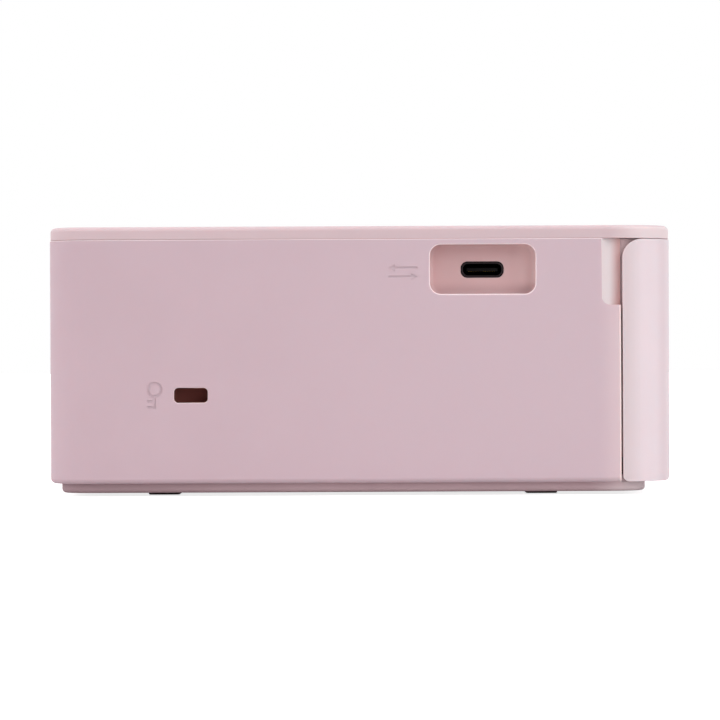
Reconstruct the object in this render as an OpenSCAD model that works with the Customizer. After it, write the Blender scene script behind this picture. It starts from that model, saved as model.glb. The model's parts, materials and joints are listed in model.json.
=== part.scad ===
// Compact dye-sublimation photo printer, in millimetres.
// X runs along the width, Y from the front door (-Y) to the paper slot at the rear (+Y), Z up.
// The origin is under the middle of the printer, on the surface it stands on.

/* [Body] */
// Width of the printer, side to side
body_w = 182; // [178:1:200]
// Depth of the printer, front to rear
body_d = 133; // [130:1:145]
// Height from the table to the top panel
overall_h = 57.6; // [57:0.2:66]
// Corner radius of the plan at the front
front_corner_r = 10; // [9:0.5:12]
// Corner radius of the plan at the rear
rear_corner_r = 8.5; // [6:0.5:9]
// Wall of the outer shell
wall = 2.4; // [2.2:0.1:2.8]
// Gap between neighbouring outer parts
seam = 0.3; // [0.2:0.05:0.4]
// Thickness of the top panel
cover_t = 2.6; // [2.2:0.1:3.2]
// Rounding of the top panel's upper edge
cover_edge_r = 1.1; // [0.6:0.1:1.6]

/* [Plinth and feet] */
// Height of the plinth under the shell
plinth_h = 2.3; // [1.8:0.1:3]
// How far the plinth stands back from the sides and rear
plinth_inset = 2.4; // [2:0.1:4]
// How far the plinth stands back from the front
plinth_front_inset = 5.3; // [4.8:0.1:6]
// How far the feet stand out under the plinth
foot_proud = 0.5; // [0.4:0.1:1.2]
// Length of a foot along Y
foot_l = 7; // [5:0.2:9]
// Width of a foot along X
foot_w = 12; // [8:0.5:16]
// Thickness of the floor inside the shell
floor_t = 1.6; // [1.2:0.1:2]

/* [Front door] */
// Width of the fixed front beside the door
fascia_w = 43; // [42:1:50]
// Length of the wing that wraps round the left corner
wing_l = 10.3; // [9:0.1:11]
// Thickness of the door
door_t = 2.1; // [1.8:0.1:2.3]
// Rounding of the wing's upper rear corner
wing_top_r = 4; // [2:0.5:5]
// Rounding of the wing's lower rear corner
wing_foot_r = 1.3; // [1:0.1:1.5]
// Rounding along the door's lower front edge
door_edge_r = 1.4; // [1:0.1:1.6]
// Radius of the door's hinge pins
door_pin_r = 0.55; // [0.5:0.05:0.6]
// Height of the finger scoop beside the door
scoop_h = 14.2; // [10:0.2:20]
// Length of the finger scoop along the side
scoop_l = 4.4; // [3:0.1:5]
// Depth of the finger scoop at the door
scoop_depth = 2; // [1.4:0.1:2.1]

/* [Left side] */
// Centre of the data socket, measured from the rear
usb_from_rear = 92.7; // [86:0.5:96]
// Width of the socket's recess
recess_w = 23; // [18:0.5:26]
// Height of the socket's recess
recess_h = 11; // [9:0.5:13]
// Depth of the socket's recess
recess_depth = 4.6; // [3:0.2:6]
// Corner radius of the recess
recess_r = 2.4; // [1:0.1:3]
// Centre of the lock slot, measured from the rear
lock_from_rear = 30.7; // [24:0.5:40]
// Height of the lock slot above the table
lock_z = 21.2; // [18:0.5:28]
// Length of the lock slot
lock_w = 7.2; // [6.5:0.1:8]
// Height of the lock slot
lock_h = 3.2; // [2.8:0.1:3.6]
// Corner radius of the lock slot
lock_r = 0.9; // [0.5:0.1:1.3]

/* [Paper bay] */
// Width of the drive compartment on the left
left_bay = 25; // [24:0.5:26]
// Width of the power compartment on the right
right_bay = 44.5; // [44:0.5:46]
// Height of the paper slot at the rear
rear_slot_h = 6; // [5:0.2:8]

/* [Display and keys] */
// Distance from the left side to the display
display_left = 27; // [20:1:34]
// Distance from the front to the display
display_front = 35.5; // [33:0.5:40]
// Width of the strip on the right that holds the keys
keys_w = 57; // [54:1:62]
// Thickness of the tilting display
display_t = 5.9; // [5.2:0.1:6.2]
// Frame beside the picture
picture_side = 12.3; // [10:0.1:14]
// Frame in front of and behind the picture
picture_end = 9; // [7.5:0.1:11]
// Outer radius of the arrow keys' ring
pad_r = 16.5; // [14:0.5:18]
// Radius of the key in the middle of the ring
ok_r = 6.4; // [5:0.2:7]
// Radius of the small round keys
key_r = 4.4; // [3.6:0.2:5]
// How far a key goes down
key_travel = 0.4; // [0.3:0.05:0.6]
// Gap round a key
key_gap = 0.25; // [0.15:0.05:0.35]

/* [Ribbon bay] */
// Depth of the ribbon door along Y
ribbon_door_w = 52; // [50:0.5:53]
// Height of the ribbon door
ribbon_door_h = 31; // [29:0.5:32]
// Distance between the two ribbon spools
spool_pitch = 26; // [25:0.5:27]
// Clearance between the ribbon's roll and its tube
roll_gap = 0.7; // [0.5:0.1:1]

/* [Feed mechanism] */
// Radius of the platen roller
platen_r = 6; // [5.5:0.1:6.4]
// Radius of the capstan roller
capstan_r = 4; // [3.5:0.1:4.4]
// Radius of the pinch roller
pinch_r = 3.2; // [2.8:0.1:3.4]
// Radius of the paper pick-up roller
pickup_r = 6.5; // [6:0.1:6.8]
// Gear module
gear_m = 0.6; // [0.56:0.01:0.62]
// Face width of a gear
gear_w = 3; // [2.4:0.1:3.2]
// Radius of the roller shafts
shaft_r = 2; // [1.6:0.1:2.2]

/* [Hidden] */
$fn = 64;
eps = 0.01;
fit = 0.05; // radial clearance of a turning shaft
touch = 0.1; // gap between parts that almost touch

// Outer box
x_left = -body_w / 2;
x_right = body_w / 2;
y_front = -body_d / 2;
y_rear = body_d / 2;
plinth_z = foot_proud;
shell_z = plinth_z + plinth_h;
floor_z = shell_z + floor_t;
cover_z = overall_h - cover_t;
shell_top = cover_z - seam;

// Front door
door_x = x_right - fascia_w;
door_w = door_x - x_left;
wing_y = y_front + wing_l;
side_y = wing_y + seam + 0.05;
door_z = shell_z + 0.1;
door_top = shell_top - 0.15;
hinge_y = y_front + door_t + 1;
hinge_z = door_z + 1.5;
ear_r = 1.2;
door_bore_r = door_pin_r + fit;
lug_r = ear_r + 0.05;
ear_w = 2.6;
lug_w = 2;
frame_inset = door_t + 0.4;
frame_t = 2;
hinge_xs = [x_left + 8.5, door_x - 6.5];

// Left side
usb_y = y_rear - usb_from_rear;
usb_z = overall_h - 9.6;
recess_wall = 1.4;
usb_w = 8.94;
usb_h = 3.2;
usb_r = 1.45;
usb_l = 7.4;
lock_y = y_rear - lock_from_rear;

// Mechanism: the platen's axis is the datum, and the paper runs level over platen and capstan
plate_t = 1;
plate_x = x_left + left_bay;
plate2_x = x_right - right_bay;
mech_y = y_rear - 37.5;
platen_z = floor_z + 0.2 + platen_r;
paper_z = platen_z + platen_r;
capstan_y = mech_y - 31;
capstan_z = paper_z - capstan_r;
pinch_z = paper_z + 0.2 + pinch_r;
display_top = overall_h - 0.15;
tray_z = display_top - display_t - 0.3;
tray_t = 0.9;
plate_top = tray_z - tray_t - 0.85;
pivot_z = plate_top - 7.5;
spool_z = pivot_z - 10;
// the full roll clears the print head beside it and the paper under it
ribbon_roll_r = min(spool_pitch / 2 - 5, (pivot_z - paper_z) / 2 - 4.7);
supply_y = mech_y - spool_pitch / 2;
takeup_y = mech_y + spool_pitch / 2;
roll2_r = ribbon_roll_r - 1.5;
core_r = ribbon_roll_r - 3.5;
pivot_y = mech_y + 28;
plate_rear_top = plate_top + 2.5;
bay_x0 = plate_x + plate_t + 1;
bay_w = plate2_x - plate_x - 4.5;
bay_z = floor_z + 2.2;
roof_z = spool_z - 5.3;
roof_t = 1;
bay_back = capstan_y - capstan_r - 2;

// Cassette
lobe_t = 1.1;
lobe_r = ribbon_roll_r + roll_gap + lobe_t;
cas_x0 = plate_x + plate_t + 2.5;
cas_x1 = plate2_x - 2.2;
cas_end = x_right - wall - 4.6;
cas_y0 = supply_y - lobe_r - 0.8;
cas_y1 = takeup_y + lobe_r + 0.8;
cas_z0 = paper_z + 1.4;
cas_z1 = spool_z + lobe_r + 0.3;
rod_r = 0.8;
rod_dy = 4.6;
rod_z = paper_z + 0.9 + rod_r;
web_t = 0.12;

// Gear train, seen in the YZ plane
teeth_capstan = 24;
teeth_small = 16;
teeth_big = 44;
teeth_pinion = 14;
teeth_takeup = 30;
gear_x0 = plate_x - 1 - gear_w;
gear_x1 = gear_x0 - 0.6 - gear_w;
function pitch_r(teeth) = gear_m * teeth / 2;
capstan_c = [capstan_y, capstan_z];
reduction_c = [mech_y - 43, spool_z];
// the idler spans from the capstan's gear to the reduction's small one
teeth_idler = 2 * ceil((1.13 * norm(reduction_c - capstan_c) / gear_m - (teeth_small + teeth_capstan) / 2) / 2);
feed_c = reduction_c + (pitch_r(teeth_big) + pitch_r(teeth_pinion)) * [cos(160), sin(160)];
idler_c = meet(reduction_c, pitch_r(teeth_small) + pitch_r(teeth_idler),
  capstan_c, pitch_r(teeth_idler) + pitch_r(teeth_capstan));
takeup_c = [takeup_y, spool_z];
ribbon_c = takeup_c + (pitch_r(teeth_takeup) + pitch_r(teeth_pinion)) * [cos(142), sin(142)];
arm_l = 24;
pickup_c = reduction_c + arm_l * [cos(175), sin(175)];

// Display and keys
display_x0 = x_left + display_left;
display_w = body_w - display_left - keys_w;
display_y0 = y_front + display_front;
display_y1 = mech_y + 7;
display_d = display_y1 - display_y0;
display_z0 = display_top - display_t;
picture_w = display_w - 2 * picture_side;
picture_d = display_d - 2 * picture_end;
tilt_r = 1.9;
tilt_y = display_y0 + tilt_r;
tilt_z = display_top - tilt_r;
tilt_pin_r = 0.9;
keys_x = x_right - 26;
pad_y = -6;
key_top = overall_h - 0.1;
flange_z = cover_z - 0.9;
board_z = cover_z - 5.3;
board_t = 1.2;
top_keys_y = pad_y + pad_r + 12;
print_y = pad_y - pad_r - 11;
pill_w = 26;

// Ribbon door
rd_y0 = mech_y - ribbon_door_w / 2;
rd_y1 = rd_y0 + ribbon_door_w;
rd_z0 = (cas_z0 + cas_z1) / 2 - ribbon_door_h / 2;
rd_z1 = rd_z0 + ribbon_door_h;
rd_edge = wall / 2;
rd_pin_r = 0.6;

// Power, fan and sockets
latch_c = [plate2_x + 4, cas_y0 - 2.9];
latch_z = spool_z - 6;
pb_mid = x_right - 28;
pb_xs = [pb_mid - 9.5, pb_mid + 9.5];
pb_ys = [y_front + 20, latch_c[1] - 8];
pb_z = floor_z + 5;
fan_s = 25;
fan_t = 6.4;
fan_x = x_right - 23;
fan_z = cover_z - 17.2;
jack_x = x_right - 20;
jack_z = floor_z + 8.6;
jack_r = 2.8;
sd_w = 25;
sd_h = 2.6;
sd_x = door_x + 17;
sd_z = overall_h - 22;

// Helpers ------------------------------------------------------------------------------------

// Point at distance a from p and b from q, on the side of +Y
function meet(p, a, q, b) =
  let (d = norm(q - p), u = (q - p) / d, s = (a * a - b * b + d * d) / (2 * d), h = sqrt(a * a - s * s))
  p + s * u + h * [-u[1], u[0]];

// Angle at which the second gear's teeth fall into the first one's gaps
function mesh_phase(c1, phase1, n1, c2, n2) =
  let (t = atan2(c2[1] - c1[1], c2[0] - c1[0]))
  t + 180 + ((t - phase1) * n1 - 180) / n2;

function inv(a) = tan(a) - a * PI / 180;

// One tooth's flank points, as [radius, half angle], from root to tip
function flank(teeth, m) =
  let (rp = m * teeth / 2, rb = rp * cos(20), rf = rp - 1.15 * m, ra = rp + 0.8 * m,
    half = 90 / teeth - 0.05 / rp * 180 / PI)
  concat([[rf, half + inv(20) * 180 / PI + 1.2]],
    [for (i = [0:4]) let (r = max(rb, rf + 0.1) + (ra - max(rb, rf + 0.1)) * i / 4)
      [r, half + (inv(20) - inv(acos(min(1, rb / r)))) * 180 / PI]]);

module gear_2d(teeth, m = gear_m) {
  f = flank(teeth, m);
  n = len(f);
  polygon([for (t = [0:teeth - 1]) for (k = [0:2 * n - 1])
    let (p = k < n ? f[k] : f[2 * n - 1 - k], a = t * 360 / teeth + (k < n ? -p[1] : p[1]))
    p[0] * [cos(a), sin(a)]]);
}

module box(a, b) { translate(a) cube(b - a); }

// Draws children, which lie in XY, in the YZ plane at x, with their Z along +X
module along_x(x, c) { translate([x, c[0], c[1]]) rotate([90, 0, 90]) children(); }

module rod_x(x0, x1, c, r) { along_x(x0, c) cylinder(h = x1 - x0, r = r); }

// Draws children, which lie in XY, in the XZ plane at y, with their Z along +Y
module along_y(y, c) { translate([c[0], y, c[1]]) rotate([-90, 0, 0]) mirror([0, 1, 0]) children(); }

module rounded(w, h, r) {
  union() {
    square([w - 2 * r, h], center = true);
    square([w, h - 2 * r], center = true);
    for (x = [-1, 1]) for (y = [-1, 1]) translate([x * (w / 2 - r), y * (h / 2 - r)]) circle(r);
  }
}

// Outline of the printer seen from above, drawn in by inset
module plan(inset = 0, front = 0) {
  x0 = x_left + inset;
  x1 = x_right - inset;
  y0 = y_front + (front > 0 ? front : inset);
  y1 = y_rear - inset;
  rf = front_corner_r - inset;
  rr = rear_corner_r - inset;
  union() {
    translate([x0 + rf, y0]) square([x1 - x0 - 2 * rf, y1 - y0]);
    translate([x0 + rr, 0]) square([x1 - x0 - 2 * rr, y1]);
    translate([x0, y0 + rf]) square([x1 - x0, y1 - y0 - rf - rr]);
    for (x = [x0 + rf, x1 - rf]) translate([x, y0 + rf]) circle(rf);
    for (x = [x0 + rr, x1 - rr]) translate([x, y1 - rr]) circle(rr);
  }
}

module slab(z0, z1, inset = 0, front = 0) {
  translate([0, 0, z0]) linear_extrude(z1 - z0) plan(inset, front);
}

// Casing -------------------------------------------------------------------------------------

boss_r = 3;
screw_r = 1.1;
boss_at = [[x_left + 11, y_rear - 11], [x_right - 11, y_rear - 11], [x_left + 11, y_front + 25],
  [x_right - 11, y_front + 22]];
foot_x = x_right - 15 - foot_w / 2;
foot_at = [for (x = [-foot_x, foot_x]) for (y = [y_front + 27.3, y_rear - 24]) [x, y]];
vent_n = 8;
vent_pitch = 3.2;
vent_w = 1.7;
vent_h = 19;

module base_tray() {
  color("#d6bcc2") difference() {
    union() {
      slab(plinth_z, shell_z, plinth_inset, plinth_front_inset);
      slab(shell_z - eps, floor_z, wall + 0.2, plinth_front_inset + 0.2);
      for (x = hinge_xs) hinge_ear(x);
      for (x = [bay_x0, bay_x0 + bay_w - 4]) // runners that carry the paper tray
        box([x, y_front + 8, floor_z - eps], [x + 4, bay_back, bay_z]);
      // post that carries the cassette's latch
      translate([latch_c[0], latch_c[1], floor_z - eps]) cylinder(h = latch_z - 0.1 - floor_z, r = 2.4);
      translate([latch_c[0], latch_c[1], floor_z]) cylinder(h = latch_z + 7 - floor_z, r = 1.2);
      // posts under the power board
      for (x = pb_xs) for (y = pb_ys) translate([x, y, floor_z - eps]) cylinder(h = pb_z - floor_z + eps,
        r = 2);
    }
    for (p = foot_at) translate([p[0], p[1], plinth_z - eps]) linear_extrude(0.7 + eps) rounded(foot_w,
      foot_l, 1.2);
    for (p = boss_at) translate([p[0], p[1], 0]) {
      cylinder(h = overall_h, r = screw_r + 0.3);
      cylinder(h = plinth_z + 2.2, r = 2.6);
    }
    for (i = [-3:3]) // cooling slots under the power board
      box([pb_mid + 2.8 * i - 0.7, -34, 0], [pb_mid + 2.8 * i + 0.7, -12, floor_z + 1]);
  }
}

module hinge_ear(x) {
  difference() {
    union() {
      rod_x(x - ear_w / 2, x + ear_w / 2, [hinge_y, hinge_z], ear_r);
      box([x - ear_w / 2, hinge_y, hinge_z - ear_r], [x + ear_w / 2, y_front + plinth_front_inset + 0.8,
        hinge_z + ear_r]);
    }
    rod_x(x - ear_w, x + ear_w, [hinge_y, hinge_z], door_bore_r);
  }
}

module rubber_feet() {
  color("#6b5d5e") for (p = foot_at) translate([p[0], p[1], 0]) linear_extrude(foot_proud + 0.7)
    rounded(foot_w - 0.2, foot_l - 0.2, 1.1);
}

module housing() {
  color("#e3c9cf") difference() {
    union() {
      difference() {
        slab(shell_z, shell_top);
        slab(shell_z - 1, shell_top + 1, wall);
        box([x_left - 1, y_front - 1, 0], [door_x + seam, side_y, overall_h]);
      }
      // jamb beside the door's free end
      box([door_x + seam, y_front + 1, shell_z], [door_x + seam + 1.8, y_front + frame_inset + frame_t,
        shell_top]);
      // bottom lip of the fascia, over the plinth
      intersection() {
        slab(shell_z, shell_top, 1);
        box([door_x + seam, y_front, shell_z], [x_right, y_front + plinth_front_inset - 0.15, shell_z + 1.4]);
      }
      // box behind the data socket's recess
      box([x_left + wall - 0.5, usb_y - recess_w / 2 - recess_wall, usb_z - recess_h / 2 - recess_wall],
        [x_left + recess_depth + recess_wall, usb_y + recess_w / 2 + recess_wall,
          usb_z + recess_h / 2 + recess_wall - 0.3]);
      for (i = [0:3]) boss(boss_at[i], i);
      // lining round the paper slot at the rear
      box([bay_x0 - 2, y_rear - wall - 2.5, paper_z - 3.6], [bay_x0 + bay_w, y_rear - 1,
        paper_z + rear_slot_h - 0.4]);
    }
    along_x(x_left - 1, [usb_y, usb_z]) linear_extrude(recess_depth + 1) rounded(recess_w, recess_h, recess_r);
    along_x(x_left, [usb_y, usb_z]) linear_extrude(20) rounded(usb_w + 0.3, usb_h + 0.3, usb_r);
    scoop_cut();
    along_x(x_left - 1, [lock_y, lock_z]) linear_extrude(wall + 2) rounded(lock_w, lock_h, lock_r);
    // engraved symbols beside the socket and the slot
    along_x(x_left - 1, [usb_y + recess_w / 2 + 5.5, usb_z - 0.4]) linear_extrude(1 + engrave) arrows_2d();
    along_x(x_left - 1, [lock_y + lock_w / 2 + 4.1, lock_z]) linear_extrude(1 + engrave) key_2d();
    // ribbon door's opening, its pin holes and the finger scoop above it
    box([x_right - wall - 1, rd_y0 - seam, rd_z0 - seam], [x_right + 1, rd_y1 + seam, rd_z1 + seam]);
    for (y = [rd_y0 - 3, rd_y1 - 3]) along_y(y, [x_right - rd_edge, rd_z0 + rd_edge]) cylinder(h = 6,
      r = rd_pin_r + fit);
    translate([x_right + 4.4, mech_y, rd_z1]) sphere(r = 6);
    // card slot in the fascia
    along_y(y_front - 1, [sd_x, sd_z]) linear_extrude(wall + 2) rounded(sd_w, sd_h, 0.5);
    // rear: paper slot, vents and power jack
    along_y(y_rear - 8, [bay_x0 + bay_w / 2 - 1, paper_z + rear_slot_h / 2 - 2]) linear_extrude(10)
      rounded(bay_w - 3, rear_slot_h, 1);
    for (side = [-1, 1]) for (i = [0:vent_n - 1])
      along_y(y_rear - wall - 1, [side * (x_right - 23) + (i - (vent_n - 1) / 2) * vent_pitch, fan_z])
        linear_extrude(wall + 2) rounded(vent_w, vent_h, vent_w / 2 - eps);
    along_y(y_rear - wall - 1, [jack_x, jack_z]) cylinder(h = wall + 2, r = jack_r + 1.5);
  }
}

engrave = 0.2;

// Two arrows pointing both ways
module arrows_2d() {
  for (s = [1, -1]) scale([s, s]) translate([0, 0.95]) {
    translate([-3.1, -0.25]) square([5, 0.5]);
    polygon([[3.1, 0], [1.7, 0.8], [1.7, -0.8]]);
  }
}

// Small upright key
module key_2d() {
  difference() {
    translate([0, 1]) circle(1.5);
    translate([0, 1]) circle(0.95);
  }
  translate([-0.27, -2.5]) square([0.54, 2.3]);
  for (y = [-2.5, -1.4]) translate([0, y]) square([1.3, 0.5]);
}

// Screw boss with a rib to the nearest side wall
module boss(p, i) {
  side = p[0] < 0 ? -1 : 1;
  wall_x = side * (x_right - wall + 0.2);
  difference() {
    union() {
      translate([p[0], p[1], floor_z]) cylinder(h = 13, r = boss_r);
      box([min(p[0], wall_x), p[1] - 0.7, floor_z], [max(p[0], wall_x), p[1] + 0.7, floor_z + 11]);
    }
    translate([p[0], p[1], floor_z - 1]) cylinder(h = 12, r = screw_r - 0.1);
  }
}

// Concave finger scoop in the side, next to the door's wing
module scoop_cut() {
  r = (scoop_l * scoop_l + scoop_depth * scoop_depth) / (2 * scoop_depth);
  intersection() {
    translate([x_left - r + scoop_depth, side_y, 0]) cylinder(h = overall_h, r = r, $fn = 128);
    along_x(x_left - 1, [side_y, shell_top - scoop_h / 2 + 2]) linear_extrude(6)
      rounded(2 * scoop_l + 0.2, scoop_h + 4, 2.1);
  }
}

module case_screws() {
  color("silver") for (p = boss_at) translate([p[0], p[1], plinth_z + 1]) difference() {
    union() {
      cylinder(h = 1.2, r = 2.2);
      cylinder(h = 11, r = screw_r - 0.15);
    }
    for (a = [0, 90]) rotate(a) translate([0, 0, 0.2]) cube([2.4, 0.5, 0.9], center = true);
  }
}

// Top panel: its upper edge is rounded, and it is open over the display and round the keys
module top_cover() {
  color("#ead3d8") difference() {
    union() {
      rounded_slab(cover_z, overall_h, 0.15, cover_edge_r);
      difference() {
        slab(cover_z - 1.8, cover_z + eps, wall + 0.15);
        slab(cover_z - 3, cover_z + 1, wall + 1.35);
        box([x_left, y_front, 0], [door_x + 2.4, side_y + 3.6, overall_h]);
        box([x_left, usb_y - recess_w / 2 - 2, 0], [x_left + 9, usb_y + recess_w / 2 + 2, cover_z - eps]);
      }
      for (x = [display_x0 - 4.4, display_x0 + display_w + 0.4])
        box([x, display_y0 + 0.3, cover_z - 2], [x + 4, display_y0 + 5.3, cover_z + eps]);
    }
    box([display_x0 - 0.35, display_y0 - 0.35, 0], [display_x0 + display_w + 0.35,
      display_y0 + display_d + 0.35, 99]);
    rod_x(display_x0 - 4, display_x0 + display_w + 4, [tilt_y, tilt_z], tilt_pin_r + fit);
    // finger notch behind the display
    translate([display_x0 + display_w / 2, display_y0 + display_d + 0.2, overall_h + 6]) sphere(r = 8);
    key_openings();
  }
}

// Plan outline with a rounded upper edge
module rounded_slab(z0, z1, inset, r) {
  hull() {
    slab(z0, z1 - r, inset, $fn = 96);
    for (a = [15:15:90]) slab(z1 - r, z1 - r + r * sin(a), inset + r - r * cos(a), $fn = 96);
  }
}

module key_openings() {
  h = 9;
  translate([keys_x, pad_y, cover_z - h / 2]) cylinder(h = h, r = pad_r + key_gap);
  for (k = [-1:1]) translate([keys_x + k * 12.5, top_keys_y, cover_z - h / 2]) cylinder(h = h,
    r = key_r + key_gap);
  translate([keys_x, print_y, cover_z - h / 2]) linear_extrude(h)
    rounded(pill_w + 2 * key_gap, 2 * key_r + 2 * key_gap, key_r + key_gap - eps);
}

// Fixed frame behind the door, open to the paper bay
module front_frame() {
  color("#dcc3c9") difference() {
    intersection() {
      difference() {
        slab(floor_z + 0.1, shell_top - 0.1, frame_inset);
        slab(floor_z, overall_h, frame_inset + frame_t);
      }
      box([x_left, y_front, floor_z + 3.6], [door_x + seam, side_y + 3, overall_h]);
    }
    box([bay_x0, y_front, 0], [bay_x0 + bay_w, y_front + 9, roof_z]);
    // the side return passes inside the shell's wall
    box([x_left, side_y - 0.4, 0], [x_left + wall + 0.15, side_y + 5, overall_h]);
  }
}

// Front door --------------------------------------------------------------------------------

module front_door() {
  color("#ecdbe0") difference() {
    union() {
      intersection() {
        difference() {
          translate([0, 0, door_z]) linear_extrude(door_top - door_z) plan();
          slab(0, overall_h, door_t);
        }
        union() {
          box([x_left - 1, y_front - 1, 0], [x_left + front_corner_r, y_front + front_corner_r, 1]);
          door_outline();
        }
      }
      for (x = hinge_xs) for (s = [-1, 1]) let (c = x + s * (ear_w / 2 + 0.2 + lug_w / 2)) {
        rod_x(c - lug_w / 2, c + lug_w / 2, [hinge_y, hinge_z], lug_r);
        box([c - lug_w / 2, y_front + door_t - 0.3, hinge_z - lug_r], [c + lug_w / 2, hinge_y,
          hinge_z + lug_r]);
      }
      // stiffening rib across the inside
      box([bay_x0 + 2, y_front + door_t - 0.2, roof_z + 6], [door_x - 12, y_front + door_t + 0.25,
        roof_z + 18]);
    }
    for (x = hinge_xs) {
      rod_x(x - ear_w / 2 - 0.2, x + ear_w / 2 + 0.2, [hinge_y, hinge_z], ear_r + 0.3);
      box([x - ear_w / 2 - 0.2, hinge_y - ear_r - 0.25, 0], [x + ear_w / 2 + 0.2, hinge_y, hinge_z]);
      rod_x(x - ear_w / 2 - lug_w - 0.3, x + ear_w / 2 + lug_w + 0.3, [hinge_y, hinge_z], door_pin_r);
    }
    // rounding along the lower front edge
    door_edge_cut();
  }
}

// Side view of the door and its wing, extruded across the printer
module door_outline() {
  r1 = wing_top_r;
  r2 = wing_foot_r;
  along_x(x_left - 1, [0, 0]) linear_extrude(door_w + 1) union() {
    translate([y_front - 1, door_z]) square([wing_l + 1 - r1, door_top - door_z]);
    translate([y_front - 1, door_z + r2]) square([wing_l + 1, door_top - r1 - door_z - r2]);
    translate([y_front - 1, door_z]) square([wing_l + 1 - r2, r2 + 1]);
    translate([wing_y - r1, door_top - r1]) circle(r1);
    translate([wing_y - r2, door_z + r2]) circle(r2);
  }
}

module door_edge_cut() {
  r = door_edge_r;
  difference() {
    box([x_left - 1, y_front - 1, door_z - 1], [door_x + 1, y_front + r, door_z + r]);
    rod_x(x_left - 2, door_x + 2, [y_front + r, door_z + r], r);
  }
}

module door_pins() {
  l = ear_w / 2 + 0.2 + lug_w - 0.1;
  color("silver") for (x = hinge_xs) rod_x(x - l, x + l, [hinge_y, hinge_z], door_pin_r);
}

// Ribbon door in the right side ---------------------------------------------------------------

module ribbon_door() {
  c = [x_right - rd_edge, rd_z0 + rd_edge];
  color("#e3c9cf") {
    union() {
      box([x_right - wall, rd_y0, c[1]], [x_right, rd_y1, rd_z1]);
      along_y(rd_y0, c) cylinder(h = rd_y1 - rd_y0, r = rd_edge);
      for (y = [rd_y0 + 8, rd_y1 - 10]) // stiffening ribs inside
        box([x_right - wall - 1.2, y, c[1] + 5], [x_right - wall + 0.2, y + 2, rd_z1 - 3]);
      // moulded hinge pins
      along_y(rd_y0 - 2.6, c) cylinder(h = rd_y1 - rd_y0 + 5.2, r = rd_pin_r);
    }
  }
}

// Display ------------------------------------------------------------------------------------

glass_t = 1;
lcd_t = 2.1;
back_t = display_t - 2 * tilt_r;
display_mid = [display_x0 + display_w / 2, display_y0 + display_d / 2 + 1];

module display_bezel() {
  x1 = display_x0 + display_w;
  color("#e0c6cc") difference() {
    union() {
      difference() {
        box([display_x0, tilt_y, display_z0 + back_t], [x1, display_y1, display_top]);
        for (x = [display_x0, x1]) translate([x, display_y1, 0]) rotate(45) cube([1.4, 1.4, 200],
          center = true);
      }
      rod_x(display_x0, x1, [tilt_y, tilt_z], tilt_r);
      rod_x(display_x0 - 3.8, x1 + 3.8, [tilt_y, tilt_z], tilt_pin_r);
      along_x(display_x0, [0, 0]) linear_extrude(display_w)
        polygon([[tilt_y - tilt_r, tilt_z], [tilt_y, tilt_z], [tilt_y, display_z0 + back_t],
          [tilt_y - tilt_r + 1.1, display_z0 + back_t]]);
    }
    translate([display_mid[0], display_mid[1], display_top - glass_t - 0.1]) linear_extrude(5)
      rounded(glass_size[0] + 0.1, glass_size[1] + 0.1, 1.5);
    translate([display_mid[0], display_mid[1], display_z0]) linear_extrude(9)
      square([picture_w + 6.2, picture_d + 5.2], center = true);
  }
}

glass_size = [display_w - 5, display_d - 8];

module display_back() {
  color("#d9bfc5") difference() {
    union() {
      box([display_x0, tilt_y + 0.6, display_z0], [display_x0 + display_w, display_y1, display_z0 + back_t]);
      along_x(display_x0, [0, 0]) linear_extrude(display_w)
        polygon([[tilt_y - tilt_r + 1.1, display_z0 + back_t], [tilt_y + 0.7, display_z0 + back_t],
          [tilt_y + 0.7, display_z0],
          [tilt_y + 0.3, display_z0]]);
    }
    for (x = [-30, 30]) translate([display_mid[0] + x, display_mid[1] - 12, display_z0 - 1])
      linear_extrude(2) rounded(20, 12, 2);
  }
}

module display_glass() {
  color("#20242a") translate([display_mid[0], display_mid[1], display_top - glass_t - 0.1])
    linear_extrude(glass_t) rounded(glass_size[0], glass_size[1], 1.5);
}

module lcd_panel() {
  color("#3a4a5c") translate([display_mid[0], display_mid[1], display_top - glass_t - 0.1 - lcd_t])
    linear_extrude(lcd_t) square([picture_w + 6, picture_d + 5], center = true);
}

// Well under the display
module display_tray() {
  o = 0.35;
  x1 = display_x0 + display_w;
  color("#cdb4ba") difference() {
    box([display_x0 - o - 1.2, display_y0 - o - 1.2, tray_z - tray_t], [x1 + o + 1.2, display_y1 + o + 1.2,
      cover_z]);
    box([display_x0 - o, display_y0 - o, tray_z], [x1 + o, display_y1 + o, 99]);
    for (x = [display_x0 - 4.6, x1]) box([x, display_y0 + 0.1, cover_z - 2.2], [x + 4.6, display_y0 + 5.5, 99]);
    // slot for the display's cable
    box([display_mid[0] - 12.2, mb_y1 - 10, tray_z - 5], [display_mid[0] + 12.2, mb_y1 - 8.6, tray_z + 1]);
    // drain and assembly holes
    for (x = [-30, 0, 30]) translate([display_mid[0] + x, display_y1 - 12, tray_z - 5]) cylinder(h = 9, r = 2);
  }
}

module display_flex() {
  color("#b98a4a") {
    box([display_mid[0] - 12, mb_y1 - 9.45, mb_z + mb_t], [display_mid[0] + 12, mb_y1 - 9.15, tray_z - 0.1]);
    box([display_mid[0] - 12, mb_y1 - 9.15 - eps, mb_z + mb_t], [display_mid[0] + 12, mb_y1 - 6,
      mb_z + mb_t + 0.8]);
  }
}

// Keys ---------------------------------------------------------------------------------------

dome_h = 0.7;
stem_z = board_z + board_t + dome_h + key_travel + 0.05;
sector_r0 = ok_r + key_gap + 0.15;
sector_stem = (sector_r0 + pad_r) / 2;

module round_key(x, y) {
  translate([x, y, 0]) {
    difference() {
      translate([0, 0, flange_z]) cylinder(h = key_top - flange_z, r = key_r);
      translate([0, 0, key_top + 11.4]) sphere(r = 11.8, $fn = 96);
    }
    translate([0, 0, flange_z]) cylinder(h = 0.8, r = key_r + 0.9);
    translate([0, 0, stem_z]) cylinder(h = flange_z - stem_z + eps, r = 1.4);
  }
}

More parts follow.
